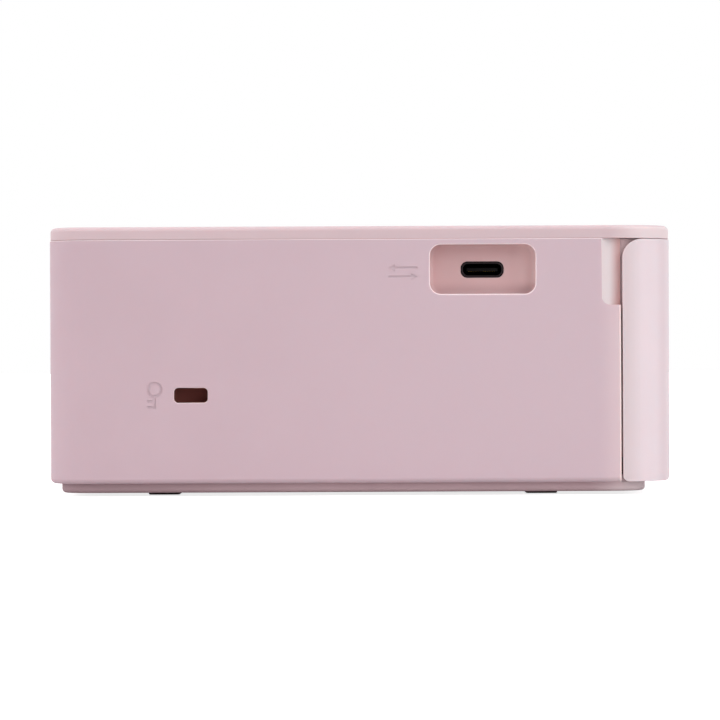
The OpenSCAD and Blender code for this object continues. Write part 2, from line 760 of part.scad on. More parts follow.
module power_key() { color("#d6bcc2") round_key(keys_x + 12.5, top_keys_y); }

module menu_key() { color("#d6bcc2") round_key(keys_x, top_keys_y); }

module back_key() { color("#d6bcc2") round_key(keys_x - 12.5, top_keys_y); }

// One quarter of the ring round the middle key, turned to face angle a
module sector_key(a) {
  translate([keys_x, pad_y, 0]) rotate(a) {
    intersection() {
      union() {
        difference() {
          translate([0, 0, cover_z - 0.1]) cylinder(h = key_top - cover_z + 0.1, r = pad_r);
          translate([0, 0, cover_z - 1]) cylinder(h = 9, r = sector_r0);
        }
        difference() {
          translate([0, 0, flange_z]) cylinder(h = 0.8 + eps, r = pad_r + 0.9);
          translate([0, 0, cover_z - 2]) cylinder(h = 9, r = pad_r - 3);
        }
      }
      linear_extrude(99) polygon([[0.3, 0], [40, 39.7], [40, -39.7]]);
    }
    translate([sector_stem + 2.6, 0, stem_z]) cylinder(h = flange_z - stem_z + eps, r = 1.3);
  }
}

module right_key() { color("#d6bcc2") sector_key(0); }

module up_key() { color("#d6bcc2") sector_key(90); }

module left_key() { color("#d6bcc2") sector_key(180); }

module down_key() { color("#d6bcc2") sector_key(270); }

module ok_key() {
  color("#f0e2e4") translate([keys_x, pad_y, 0]) {
    translate([0, 0, flange_z - 0.5]) cylinder(h = key_top - flange_z + 0.5, r = ok_r);
    translate([0, 0, flange_z - 0.5]) cylinder(h = 0.7, r = ok_r + 0.9);
    translate([0, 0, stem_z]) cylinder(h = flange_z - stem_z, r = 1.4);
  }
}

module print_key() {
  color("#f0e2e4") translate([keys_x, print_y, 0]) {
    translate([0, 0, flange_z]) linear_extrude(key_top - flange_z) rounded(pill_w, 2 * key_r, key_r - eps);
    translate([0, 0, flange_z]) linear_extrude(0.8) rounded(pill_w + 1.8, 2 * key_r + 1.8, key_r + 0.9 - eps);
    translate([0, 0, stem_z]) cylinder(h = flange_z - stem_z + eps, r = 1.4);
  }
}

key_spots = concat([for (k = [-1:1]) [keys_x + 12.5 * k, top_keys_y]], [[keys_x, pad_y], [keys_x, print_y]],
  [for (a = [0:90:270]) [keys_x, pad_y] + (sector_stem + 2.6) * [cos(a), sin(a)]]);

// Circuit board under the keys, hung from the top panel by posts
module key_board() {
  x0 = plate2_x + 1.4;
  x1 = x_right - wall - 1;
  y0 = print_y - 8;
  y1 = top_keys_y + 9;
  color("#2f6b46") {
    box([x0, y0, board_z], [x1, y1, board_z + board_t]);
    for (k = key_spots) translate([k[0], k[1], board_z + board_t - eps]) cylinder(h = dome_h + eps, r = 2.2);
    for (x = [x0 + 2.2, x1 - 2.2]) for (y = [y0 + 2.2, y1 - 2.2])
      translate([x, y, board_z + board_t - eps]) cylinder(h = cover_z - board_z - board_t + eps, r = 1.3);
    box([x1 - 9, y0 + 14, board_z - 1.6], [x1 - 2, y0 + 28, board_z + eps]);
  }
}

// Frame of the mechanism -----------------------------------------------------------------------

plate_y0 = y_front + frame_inset + frame_t;
plate_y1 = y_rear - wall - 3.6;
cam_c = [pivot_y - 11, plate_top - 0.8];
cam_lift = 0.567;
carrier_z1 = cam_c[1] - 2.5;
carrier_z0 = carrier_z1 - 1.2;
mb_z = roof_z + roof_t + 15.3;
mb_t = 1.4;
platen_shaft = shaft_r;
pinch_shaft = shaft_r - 0.4;
stub_r = 1.5;
motor_shaft_r = 1;
shaft_x0 = plate_x - plate_t / 2 - 0.3;
shaft_x1 = plate2_x + plate_t / 2 + 0.8;

// Outline of a side plate in the YZ plane
module plate_2d() {
  translate([plate_y0, floor_z]) square([plate_y1 - plate_y0, roof_z + 8 - floor_z]);
  translate([plate_y0 + 17, floor_z]) square([plate_y1 - plate_y0 - 17, plate_top - floor_z]);
  translate([display_y1 + 2.6, floor_z]) square([plate_y1 - display_y1 - 2.6, plate_rear_top - floor_z]);
}

module plate_bores() {
  for (b = [[mech_y, platen_z, platen_shaft], [capstan_y, capstan_z, shaft_r], [capstan_y, pinch_z,
    pinch_shaft],
    [reduction_c[0], reduction_c[1], shaft_r], [pivot_y, pivot_z, stub_r], [cam_c[0], cam_c[1], stub_r]])
    translate([b[0], b[1]]) circle(b[2] + fit);
}

module left_side_plate() {
  color("#b9bec2") {
    along_x(plate_x - plate_t / 2, [0, 0]) linear_extrude(plate_t) difference() {
      plate_2d();
      plate_bores();
      translate(takeup_c) circle(shaft_r + fit);
      translate(feed_c) circle(3);
      translate([pivot_y, platen_z]) circle(3);
    }
    rod_x(plate_x - plate_t / 2 - gear_w - 0.9, plate_x - plate_t / 2 + eps, idler_c, stub_r);
  }
}

module right_side_plate() {
  color("#b9bec2") along_x(plate2_x - plate_t / 2, [0, 0]) linear_extrude(plate_t) difference() {
    plate_2d();
    plate_bores();
    // window that the cassette stands in
    translate([cas_y0 - 0.5, cas_z0]) square([cas_y1 - cas_y0 + 1, cas_z1 - cas_z0 + 0.8]);
  }
}

arm_x = bay_x0 + bay_w / 2;
arm_half = 8;

module bay_roof() {
  x0 = plate_x + plate_t / 2;
  x1 = plate2_x - plate_t / 2;
  color("#4a4c50") difference() {
    union() {
      box([x0, plate_y0, roof_z], [x1, bay_back, roof_z + roof_t]);
      for (x = [mb_x0 + 4, mb_x1 - 4]) for (y = mb_posts_y)
        translate([x, y, roof_z]) cylinder(h = mb_z - roof_z, r = 2);
    }
    box([arm_x - arm_half - 2, pickup_c[0] - 9, 0], [arm_x + arm_half + 2, bay_back - 2, roof_z + 5]);
  }
}

// Level guides that carry the paper between the rollers and to the rear slot
module rear_guide() {
  x0 = plate_x + plate_t / 2;
  x1 = plate2_x - plate_t / 2;
  color("#4a4c50") {
    box([x0, mech_y + platen_r + 1.2, paper_z - 1.8], [x1, y_rear - wall - 2.8, paper_z - 0.6]);
    box([x0, capstan_y + capstan_r + 1, paper_z - 1.8], [x1, mech_y - platen_r - 1.2, paper_z - 0.6]);
    for (i = [0:6]) translate([x0 + (x1 - x0) * (i + 0.5) / 7, 0, 0])
      box([-0.5, mech_y + platen_r + 4, paper_z - 0.6 - eps], [0.5, y_rear - wall - 3, paper_z - 0.2]);
  }
}

mb_x0 = bay_x0 + 18;
mb_x1 = plate2_x - 4.5;
mb_y0 = plate_y0 + 2;
mb_y1 = display_y0 + 15;
mb_posts_y = [mb_y0 + 4, min(mb_y1 - 4, reduction_c[0] - 6)];
mb_size = [mb_x1 - mb_x0, mb_y1 - mb_y0];

module main_board() {
  color("#2f6b46") {
    box([mb_x0, mb_y0, mb_z], [mb_x1, mb_y1, mb_z + mb_t]);
    for (c = [[0.25, 0.46, 16, 16, 1.4], [0.54, 0.58, 11, 11, 1.2], [0.55, 0.2, 16, 8, 1.2]])
      translate([mb_x0 + c[0] * mb_size[0], mb_y0 + c[1] * mb_size[1], mb_z + mb_t - eps + c[4] / 2])
        cube([c[2], c[3], c[4]], center = true);
    for (i = [0:3]) translate([mb_x1 - 11, mb_y0 + (0.17 + 0.21 * i) * mb_size[1], mb_z + mb_t - eps + 1.6])
      cube([6, 0.15 * mb_size[1], 3.2], center = true);
    for (i = [0:4]) translate([mb_x0 + 6, mb_y0 + (0.27 + 0.125 * i) * mb_size[1], mb_z + mb_t - eps])
      cylinder(h = 4, r = 1.8);
  }
}

module power_board() {
  color("#2f6b46") {
    box([pb_xs[0] - 3, pb_ys[0] - 3, pb_z], [pb_xs[1] + 3, pb_ys[1] + 3, pb_z + 1.4]);
    box([pb_mid - 8, pb_ys[0] + 4, pb_z + 1.4 - eps], [pb_mid + 6, pb_ys[0] + 16, pb_z + 11]);
    for (i = [0:2]) translate([pb_mid - 6, pb_ys[1] - 4 - 8 * i, pb_z + 1.4 - eps]) cylinder(h = 10, r = 3.2);
    box([pb_mid + 3, pb_ys[1] - 20, pb_z + 1.4 - eps], [pb_mid + 4.6, pb_ys[1] - 3, pb_z + 13]);
    box([pb_mid - 2, pb_ys[1] - 9, pb_z + 1.4 - eps], [pb_mid + 1.6, pb_ys[1] + 1, pb_z + 6]);
  }
}

// Sockets, lock and fan ------------------------------------------------------------------------

usb_x = x_left + recess_depth - 0.1;

module usb_shell() {
  color("#c9ced2") difference() {
    union() {
      along_x(usb_x, [usb_y, usb_z]) linear_extrude(usb_l) rounded(usb_w, usb_h, usb_r);
      along_x(x_left + recess_depth + recess_wall, [usb_y, usb_z]) linear_extrude(0.8) rounded(usb_w + 3,
        usb_h + 3, 1);
    }
    along_x(usb_x - 1, [usb_y, usb_z]) linear_extrude(usb_l - 0.4 + 1) rounded(usb_w - 0.7, usb_h - 0.7,
      usb_r - 0.35);
  }
}

module usb_tongue() {
  color("#2a2a2c") box([usb_x + 0.8, usb_y - 3.35, usb_z - 0.35], [usb_x + usb_l - 0.4, usb_y + 3.35,
    usb_z + 0.35]);
}

module lock_plate() {
  x0 = x_left + wall;
  color("#8a8d90") difference() {
    box([x0, lock_y - 7, lock_z - 5], [x0 + 1, lock_y + 7, lock_z + 5]);
    along_x(x0 - 1, [lock_y, lock_z]) linear_extrude(3) rounded(lock_w - 0.3, lock_h - 0.3, lock_r - 0.15);
  }
}

module sd_socket() {
  y0 = y_front + wall;
  color("#b9bec2") difference() {
    box([sd_x - sd_w / 2 - 1.5, y0, sd_z - sd_h / 2 - 0.8], [sd_x + sd_w / 2 + 1.5, y0 + 26,
      sd_z + sd_h / 2 + 0.8]);
    box([sd_x - sd_w / 2 + 0.2, y0 - 1, sd_z - sd_h / 2 + 0.1], [sd_x + sd_w / 2 - 0.2, y0 + 24.8,
      sd_z + sd_h / 2 - 0.1]);
  }
}

module dc_jack() {
  y1 = y_rear - wall;
  color("#26262a") {
    difference() {
      union() {
        box([jack_x - 4.5, y1 - 12, floor_z], [jack_x + 4.5, y1, jack_z + 4.5]);
        along_y(y1 - eps, [jack_x, jack_z]) cylinder(h = wall - 0.4, r = jack_r + 1.3);
      }
      along_y(y1 - 9, [jack_x, jack_z]) cylinder(h = 20, r = jack_r);
    }
    along_y(y1 - 10, [jack_x, jack_z]) cylinder(h = 9.5, r = 0.85);
  }
}

fan_y1 = y_rear - wall;
fan_y0 = fan_y1 - fan_t;

module fan_frame() {
  color("#2b2c2f") {
    along_y(fan_y0, [fan_x, fan_z]) linear_extrude(fan_t) difference() {
      rounded(fan_s, fan_s, 2);
      circle(fan_s / 2 - 0.8);
      for (x = [-1, 1]) for (y = [-1, 1]) translate([x, y] * (fan_s / 2 - 2.5)) circle(1.1);
    }
    along_y(fan_y0, [fan_x, fan_z]) linear_extrude(0.9) difference() {
      union() {
        circle(5.4);
        for (a = [45:90:315]) rotate(a) translate([0, -0.7]) square([fan_s / 2, 1.4]);
      }
      circle(1.05);
    }
  }
}

module fan_rotor() {
  color("#2b2c2f") along_y(fan_y0, [fan_x, fan_z]) {
    cylinder(h = 2, r = 1);
    translate([0, 0, 1.3]) cylinder(h = fan_t - 1.9, r = 5.2);
    for (i = [0:6]) rotate(i * 360 / 7) translate([4.8, 0, 1.4 + (fan_t - 2.1) / 2]) rotate([38, 0, 0])
      translate([0, -0.4, -2.3]) cube([6.2, 0.8, 4.6]);
  }
}

// Drive ----------------------------------------------------------------------------------------

module motor_can(x0, x1, c, r) {
  rod_x(x0, x1, c, r);
  rod_x(x1 - eps, x1 + 1, c, r * 0.4);
}

module feed_motor() {
  x0 = plate_x + plate_t / 2;
  color("#9da2a6") difference() {
    union() {
      motor_can(x0, x0 + 15, feed_c, 10);
      rod_x(x0 - plate_t, x0 + eps, feed_c, 2.8);
      box([x0 + 11, feed_c[0] - 3, roof_z + roof_t], [x0 + 14, feed_c[0] + 3, feed_c[1] - 9]);
    }
    rod_x(x0 - 3, x0 + 6, feed_c, motor_shaft_r + fit);
  }
}

module feed_pinion() {
  x0 = plate_x + plate_t / 2;
  phase = mesh_phase(reduction_c, 0, teeth_big, feed_c, teeth_pinion);
  color("#c8b273") {
    along_x(gear_x1, feed_c) rotate(phase) linear_extrude(gear_w) gear_2d(teeth_pinion);
    rod_x(gear_x1 - 0.6, x0 + 5.6, feed_c, motor_shaft_r);
  }
}

motor2_x = gear_x1 - 0.4;
motor2_r = 7.5;
standoffs = [[-7.6, -1], [0, 7.4]];

module ribbon_motor() {
  color("#9da2a6") difference() {
    union() {
      rod_x(motor2_x - 13, motor2_x, ribbon_c, motor2_r);
      rod_x(motor2_x - 1, motor2_x, ribbon_c + standoffs[0], 2.4);
      rod_x(motor2_x - 1, motor2_x, ribbon_c + standoffs[1], 2.4);
      for (s = standoffs) rod_x(motor2_x - 1, plate_x - plate_t / 2, ribbon_c + s, 1.3);
    }
    rod_x(motor2_x - 6, motor2_x + 1, ribbon_c, motor_shaft_r + fit);
  }
}

module ribbon_pinion() {
  phase = mesh_phase(takeup_c, 0, teeth_takeup, ribbon_c, teeth_pinion);
  color("#c8b273") {
    along_x(gear_x0, ribbon_c) rotate(phase) linear_extrude(gear_w) gear_2d(teeth_pinion);
    rod_x(motor2_x - 5.6, gear_x0 + gear_w, ribbon_c, motor_shaft_r);
  }
}

// Gears of the paper feed: each one's teeth fall into its neighbour's gaps
phase_small = 0;
phase_idler = mesh_phase(reduction_c, phase_small, teeth_small, idler_c, teeth_idler);
phase_capstan = mesh_phase(idler_c, phase_idler, teeth_idler, capstan_c, teeth_capstan);

module reduction_gear() {
  color("#e8e4da") {
    along_x(gear_x0, reduction_c) rotate(phase_small) linear_extrude(gear_w + eps) gear_2d(teeth_small);
    along_x(gear_x1, reduction_c) linear_extrude(gear_w) difference() {
      gear_2d(teeth_big);
      for (a = [0:60:300]) rotate(a) translate([8.6, 0]) circle(2.1);
    }
    rod_x(gear_x1 + gear_w - eps, gear_x0 + eps, reduction_c, 4);
    rod_x(gear_x1 - 0.8, shaft_x1, reduction_c, shaft_r);
  }
}

module idler_gear() {
  color("#e8e4da") along_x(gear_x0, idler_c) linear_extrude(gear_w) difference() {
    rotate(phase_idler) gear_2d(teeth_idler);
    circle(stub_r + fit);
  }
}

module capstan_gear() {
  color("#e8e4da") along_x(gear_x0, capstan_c) linear_extrude(gear_w) difference() {
    rotate(phase_capstan) gear_2d(teeth_capstan);
    circle(shaft_r);
  }
}

module takeup_gear() {
  color("#e8e4da") {
    along_x(gear_x0, takeup_c) linear_extrude(gear_w) difference() {
      gear_2d(teeth_takeup);
      for (a = [0:60:300]) rotate(a) translate([5.6, 0]) circle(1.4);
    }
    rod_x(gear_x0 - 1, cas_x0 - 0.2, takeup_c, shaft_r);
  }
}

// Rollers --------------------------------------------------------------------------------------

// Steel shaft in the side plates, with a collar at each plate and a covering of radius r
module roller(c, r, shaft, x0, x1, end = shaft_x0) {
  rod_x(end, shaft_x1, c, shaft);
  rod_x(plate_x + plate_t / 2 + 0.3, plate2_x - plate_t / 2 - 0.3, c, shaft + 0.8);
  rod_x(x0, x1, c, r);
}

module platen_roller() {
  color("#3a3a3c") roller([mech_y, platen_z], platen_r, platen_shaft, plate_x + 8, plate2_x - 6);
}

module capstan_roller() {
  color("#a9adb0") roller(capstan_c, capstan_r, shaft_r, plate_x + 9, plate2_x - 7, gear_x0 - 0.8);
}

module pinch_roller() {
  color("#4b4b4e") roller([capstan_y, pinch_z], pinch_r, pinch_shaft, plate_x + 9, plate2_x - 7);
}

module pickup_arm() {
  color("#4a4c50") difference() {
    union() {
      for (s = [-1, 1]) along_x(arm_x + s * arm_half - 0.75, [0, 0]) linear_extrude(1.5) union() {
        translate(reduction_c) circle(3.6);
        translate(pickup_c) circle(3);
        polygon([reduction_c + [0.3, 3.5], pickup_c + [0.2, 3], pickup_c + [-0.2, -3], reduction_c + [-0.3,
          -3.5]]);
      }
      box([arm_x - arm_half, reduction_c[0] - 9, reduction_c[1] - 1.2], [arm_x + arm_half,
        reduction_c[0] - 5, reduction_c[1] + 2.6]);
    }
    rod_x(arm_x - 20, arm_x + 20, reduction_c, shaft_r + fit);
    rod_x(arm_x - 20, arm_x + 20, pickup_c, stub_r + fit);
  }
}

module pickup_roller() {
  color("#3a3a3c") {
    rod_x(arm_x - arm_half + 1.2, arm_x + arm_half - 1.2, pickup_c, pickup_r);
    rod_x(arm_x - arm_half - 1.4, arm_x + arm_half + 1.4, pickup_c, stub_r);
  }
}

// Ribbon cassette ------------------------------------------------------------------------------

web_x0 = plate_x + 8;
web_x1 = plate2_x - 5;
web_r = (rod_r + web_t / 2 + 0.03) / cos(22.5);
rod_a = [mech_y - rod_dy, rod_z];
rod_b = [mech_y + rod_dy, rod_z];
web_path = [[supply_y + ribbon_roll_r + 0.2, spool_z], rod_a + web_r * [cos(202.5), sin(202.5)],
  rod_a + web_r * [cos(247.5), sin(247.5)], rod_b + web_r * [cos(292.5), sin(292.5)],
  rod_b + web_r * [cos(337.5), sin(337.5)], [takeup_y - roll2_r - 0.2, spool_z]];

module strip(p, q, t) {
  u = (q - p) / norm(q - p);
  n = [-u[1], u[0]] * t / 2;
  polygon([p + n, p - n, q - n, q + n]);
}

module cassette_shell() {
  spools = [[supply_y, spool_z], takeup_c];
  end_z = rod_z - rod_r - 0.3;
  color("#e9e6de") difference() {
    union() {
      for (s = spools) rod_x(cas_x0, cas_x1, s, lobe_r);
      box([cas_x0, cas_y0, end_z], [cas_x0 + lobe_t, cas_y1, cas_z1]);
      box([cas_x1 - lobe_t, cas_y0, cas_z0], [cas_x1, cas_y1, cas_z1]);
      for (s = [-1, 1]) rod_x(cas_x0 + 0.2, cas_x1, [mech_y + s * rod_dy, rod_z], rod_r);
    }
    for (s = spools) {
      rod_x(cas_x0 + lobe_t, cas_x1 - lobe_t, s, lobe_r - lobe_t);
      rod_x(cas_x0 - 1, cas_x1 + 1, s, shaft_r + fit);
    }
    // slits where the ribbon leaves the spools
    for (p = [[web_path[0], web_path[1]], [web_path[5], web_path[4]]])
      along_x(web_x0 - 0.6, [0, 0]) linear_extrude(web_x1 - web_x0 + 1.2)
        strip(p[0] + [0, 1], p[0] + (p[1] - p[0]) * (spool_z - rod_z - 1.6) / (p[0][1] - p[1][1]), 1.4);
    // slot for the print head
    box([cas_x0 - 1, mech_y - 3.8, cas_z0 - 2], [cas_x0 + 4, mech_y + 3.8, 99]);
  }
}

// Block at the cassette's end, held to pull it out: hollow, with a cross rib inside and open underneath
module cassette_grip() {
  t = 1.6;
  mid = (cas_x1 + cas_end) / 2;
  color("#e9e6de") difference() {
    union() {
      box([cas_x1, cas_y0, cas_z0], [cas_end, cas_y1, cas_z1]);
      for (i = [0:4]) box([cas_end - eps, mech_y - 11 + 5 * i, cas_z0 + 4], [cas_end + 0.8,
        mech_y - 9 + 5 * i, cas_z1 - 4]);
    }
    for (x = [[cas_x1 + t, mid - t / 2], [mid + t / 2, cas_end - t]])
      box([x[0], cas_y0 + t, cas_z0 - 1], [x[1], cas_y1 - t, cas_z1 - t]);
    // ends of the spool shafts
    for (y = [supply_y, takeup_y]) rod_x(cas_x1 - 1, cas_x1 + t + 1, [y, spool_z], shaft_r + fit);
  }
}

module ribbon_web() {
  color("#e8c43a") along_x(web_x0, [0, 0]) linear_extrude(web_x1 - web_x0) union() {
    for (i = [0:4]) strip(web_path[i], web_path[i + 1], web_t);
  }
}

module spool(c, roll_r) {
  rod_x(web_x0, web_x1, c, roll_r);
  rod_x(cas_x0 + lobe_t + 0.3, cas_x1 - lobe_t - 0.3, c, core_r);
  rod_x(cas_x0 - 0.2, cas_x1 - 0.1, c, shaft_r);
}

module supply_spool() { color("#d8b23a") spool([supply_y, spool_z], ribbon_roll_r); }

module takeup_spool() { color("#8f6a3a") spool(takeup_c, roll2_r); }

// Print head -----------------------------------------------------------------------------------

head_y = mech_y - 0.8;
head_z = rod_z + rod_r + 0.1;
head_x0 = plate_x + 9.5;
head_x1 = plate2_x - 6;

module head_carrier() {
  x0 = plate_x + plate_t / 2 + 0.5;
  x1 = plate2_x - plate_t / 2 - 0.5;
  color("#9da2a6") {
    difference() {
      box([x0, mech_y - 8, carrier_z0], [x1, pivot_y + 1, carrier_z1]);
      for (i = [0:3]) translate([x0 + (x1 - x0) * (i + 0.75) / 4.5, mech_y + 12, 0]) linear_extrude(99)
        rounded((x1 - x0) / 7, 12, 3);
    }
    for (x = [x0, x1 - 1.2]) box([x, pivot_y - 2.4, pivot_z - 2], [x + 1.2, pivot_y + 2.4, carrier_z0 + eps]);
    for (x = [x0, x1 - 1.2]) rod_x(x, x + 1.2, [pivot_y, pivot_z], 2.4);
    rod_x(shaft_x0, shaft_x1, [pivot_y, pivot_z], stub_r);
  }
}

module head_bar() {
  color("#7f8386") {
    box([head_x0, head_y - 2.4, head_z], [head_x1, head_y + 2.4, head_z + 3.8]);
    box([head_x0, head_y - 1, head_z + 3.7], [head_x1, head_y + 1.6, carrier_z0]);
  }
}

module head_cam() {
  r = 2.4 + cam_lift / 2;
  color("#e8e4da") {
    rod_x(shaft_x0, shaft_x1, cam_c, stub_r);
    for (x = [plate_x + 6, plate2_x - 8.5]) rod_x(x, x + 3, cam_c + [0, cam_lift / 2], r);
  }
}

module release_lever() {
  l = cas_end + 2.6 - latch_c[0];
  color("#c9a0aa") translate([latch_c[0], latch_c[1], latch_z]) difference() {
    union() {
      cylinder(h = 6, r = 2.6);
      translate([0, -1.2, 0]) cube([l, 2.4, 6]);
      translate([l - 1.6, -1.2, 0]) cube([1.6, 5.6, 6]);
    }
    translate([0, 0, -1]) cylinder(h = 9, r = 1.2 + fit);
  }
}

// Parts ----------------------------------------------------------------------------------------

base_tray();
rubber_feet();
housing();
top_cover();
front_frame();
display_tray();
left_side_plate();
right_side_plate();
bay_roof();
rear_guide();
usb_shell();
usb_tongue();
lock_plate();
sd_socket();
dc_jack();
key_board();
main_board();
power_board();
fan_frame();
feed_motor();
ribbon_motor();
cassette_shell();
cassette_grip();
ribbon_web();
case_screws();
display_flex();
front_door();
door_pins();
ribbon_door();
display_bezel();
display_back();
display_glass();
lcd_panel();
power_key();
back_key();
menu_key();
up_key();
down_key();
left_key();
right_key();
ok_key();
print_key();
release_lever();
fan_rotor();
capstan_roller();
capstan_gear();
idler_gear();
reduction_gear();
feed_pinion();
pinch_roller();
platen_roller();
pickup_arm();
pickup_roller();
takeup_spool();
takeup_gear();
supply_spool();
ribbon_pinion();
head_carrier();
head_bar();
head_cam();
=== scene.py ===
# %% [markdown]
# # Compact photo printer
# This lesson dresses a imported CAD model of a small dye-transfer photo printer. The CAD parts are the frame: they
# give every size and every joint, and nothing here moves them. A printer like this is mostly moulded plastic, so
# the work lies in soft edges, fine seams and quiet finishes, not in new shapes.
# Lengths are in millimetres unless a comment says otherwise. Blender's own unit is the metre.

# %% Load the frame
import json
import math
import bmesh
import bpy
from mathutils import Matrix, Vector

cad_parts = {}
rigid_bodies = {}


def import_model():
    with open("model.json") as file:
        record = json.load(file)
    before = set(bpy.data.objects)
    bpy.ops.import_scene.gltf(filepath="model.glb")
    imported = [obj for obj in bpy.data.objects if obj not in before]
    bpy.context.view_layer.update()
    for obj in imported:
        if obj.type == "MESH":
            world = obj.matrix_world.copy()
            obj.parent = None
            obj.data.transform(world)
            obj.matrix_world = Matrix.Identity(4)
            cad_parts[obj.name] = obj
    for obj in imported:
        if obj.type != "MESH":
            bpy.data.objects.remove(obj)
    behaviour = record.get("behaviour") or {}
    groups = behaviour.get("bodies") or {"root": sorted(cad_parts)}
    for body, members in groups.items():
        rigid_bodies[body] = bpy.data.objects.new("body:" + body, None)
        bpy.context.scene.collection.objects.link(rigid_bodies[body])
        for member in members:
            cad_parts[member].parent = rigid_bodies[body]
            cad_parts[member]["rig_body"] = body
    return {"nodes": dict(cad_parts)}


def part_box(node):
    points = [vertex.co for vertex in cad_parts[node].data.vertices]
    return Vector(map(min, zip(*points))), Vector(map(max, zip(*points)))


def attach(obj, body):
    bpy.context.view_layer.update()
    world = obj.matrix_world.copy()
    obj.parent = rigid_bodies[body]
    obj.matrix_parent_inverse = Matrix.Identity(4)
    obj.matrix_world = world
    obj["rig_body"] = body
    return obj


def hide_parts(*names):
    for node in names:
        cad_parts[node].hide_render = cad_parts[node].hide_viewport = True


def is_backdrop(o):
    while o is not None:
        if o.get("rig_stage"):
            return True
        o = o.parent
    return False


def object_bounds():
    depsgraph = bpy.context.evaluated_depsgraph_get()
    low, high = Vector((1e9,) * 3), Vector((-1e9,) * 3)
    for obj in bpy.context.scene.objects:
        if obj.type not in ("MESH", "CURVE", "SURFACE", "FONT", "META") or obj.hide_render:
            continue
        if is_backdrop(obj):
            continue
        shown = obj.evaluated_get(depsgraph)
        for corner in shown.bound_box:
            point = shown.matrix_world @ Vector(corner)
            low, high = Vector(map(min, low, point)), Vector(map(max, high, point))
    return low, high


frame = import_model()
nodes = frame["nodes"]
cad_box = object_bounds()
MM = 0.001  # a millimetre in Blender's metres
PER_M = 1000  # millimetres in a metre

# %% [markdown]
# ## Colours and nodes
# Colours are written as sRGB hex codes, as a paint chart gives them, and one function turns them to the linear
# values that light is worked out in. Another adds a shader node with its settings and whatever feeds it, so that
# each finish stays short enough to read.


# %% Two helpers
def srgb(code):
    """A hex colour as linear red, green, blue and alpha, by the sRGB curve."""
    parts = [int(code[i:i + 2], 16) / 255 for i in (1, 3, 5)]
    return [c / 12.92 if c <= 0.04045 else ((c + 0.055) / 1.055) ** 2.4 for c in parts] + [1.0]


def add(tree, kind, feeds=None, **settings):
    """Adds a shader node. feeds: input name or number -> a number, a list or another node's output."""
    node = tree.nodes.new(kind)
    for name, value in settings.items():
        setattr(node, name, value)
    for name, value in (feeds or {}).items():
        if isinstance(value, bpy.types.NodeSocket):
            tree.links.new(value, node.inputs[name])
        else:
            node.inputs[name].default_value = value
    return node


print("linear mid grey", [round(v, 3) for v in srgb("#808080")])

# %% [markdown]
# ## How a surface is built
# Three things tell the eye what a surface is: how its colour drifts, how its gloss drifts and how rough it is to
# the touch. They could be painted as pictures, but noise placed by the object's own coordinates needs no pictures,
# has no seams and keeps its real size. Here every pattern is laid out on coordinates scaled to millimetres, so a
# grain of 0.3 is a grain of 0.3 mm. A stretch below 1 draws the pattern out along that axis, as a lathe or a
# grinding belt does.


# %% Plain shader
def plain(name, colour, roughness, metallic=0.0, **shader):
    """A material with the values that are the same all over it."""
    mat = bpy.data.materials.new(name)
    mat.use_nodes = True
    bsdf = mat.node_tree.nodes["Principled BSDF"]
    bsdf.inputs["Base Color"].default_value = srgb(colour)
    bsdf.inputs["Roughness"].default_value = roughness
    bsdf.inputs["Metallic"].default_value = metallic
    for key, value in shader.items():
        bsdf.inputs[key.replace("_", " ")].default_value = value
    mat.diffuse_color = srgb(colour)
    return mat


print("plain shader ready")


# %% Surface in real sizes
def surface(mat, dark, light, patch_mm, gloss, gloss_mm, grain_mm, height_mm, stretch=(1, 1, 1)):
    """Lays colour clouds, uneven gloss and fine relief on a material, all at real sizes."""
    tree = mat.node_tree
    bsdf = tree.nodes["Principled BSDF"]
    coords = add(tree, "ShaderNodeTexCoord")
    place = add(tree, "ShaderNodeMapping", {"Vector": coords.outputs["Object"], "Scale": [PER_M * s for s in stretch]})
    clouds = add(tree, "ShaderNodeTexNoise", {"Vector": place.outputs[0], "Scale": 1 / patch_mm, "Detail": 3.0})
    tint = add(tree, "ShaderNodeValToRGB", {"Fac": clouds.outputs["Fac"]})
    for stop, at, code in zip(tint.color_ramp.elements, (0.35, 0.65), (dark, light)):
        stop.position, stop.color = at, srgb(code)
    tree.links.new(tint.outputs["Color"], bsdf.inputs["Base Color"])
    drift = add(tree, "ShaderNodeTexNoise", {"Vector": place.outputs[0], "Scale": 1 / gloss_mm})
    rough = add(tree, "ShaderNodeMapRange", {"Value": drift.outputs["Fac"], "From Min": 0.3, "From Max": 0.7,
                                             "To Min": gloss[0], "To Max": gloss[1]})
    tree.links.new(rough.outputs["Result"], bsdf.inputs["Roughness"])
    relief = add(tree, "ShaderNodeTexNoise", {"Vector": place.outputs[0], "Scale": 1 / grain_mm})
    bump = add(tree, "ShaderNodeBump", {"Height": relief.outputs["Fac"], "Distance": height_mm * MM})
    tree.links.new(bump.outputs["Normal"], bsdf.inputs["Normal"])


print("surface ready")


# %% Other colours
def scaled(code, factor):
    """A hex colour made lighter or darker."""
    return "#" + "".join("%02x" % max(0, min(255, round(int(code[i:i + 2], 16) * factor))) for i in (1, 3, 5))


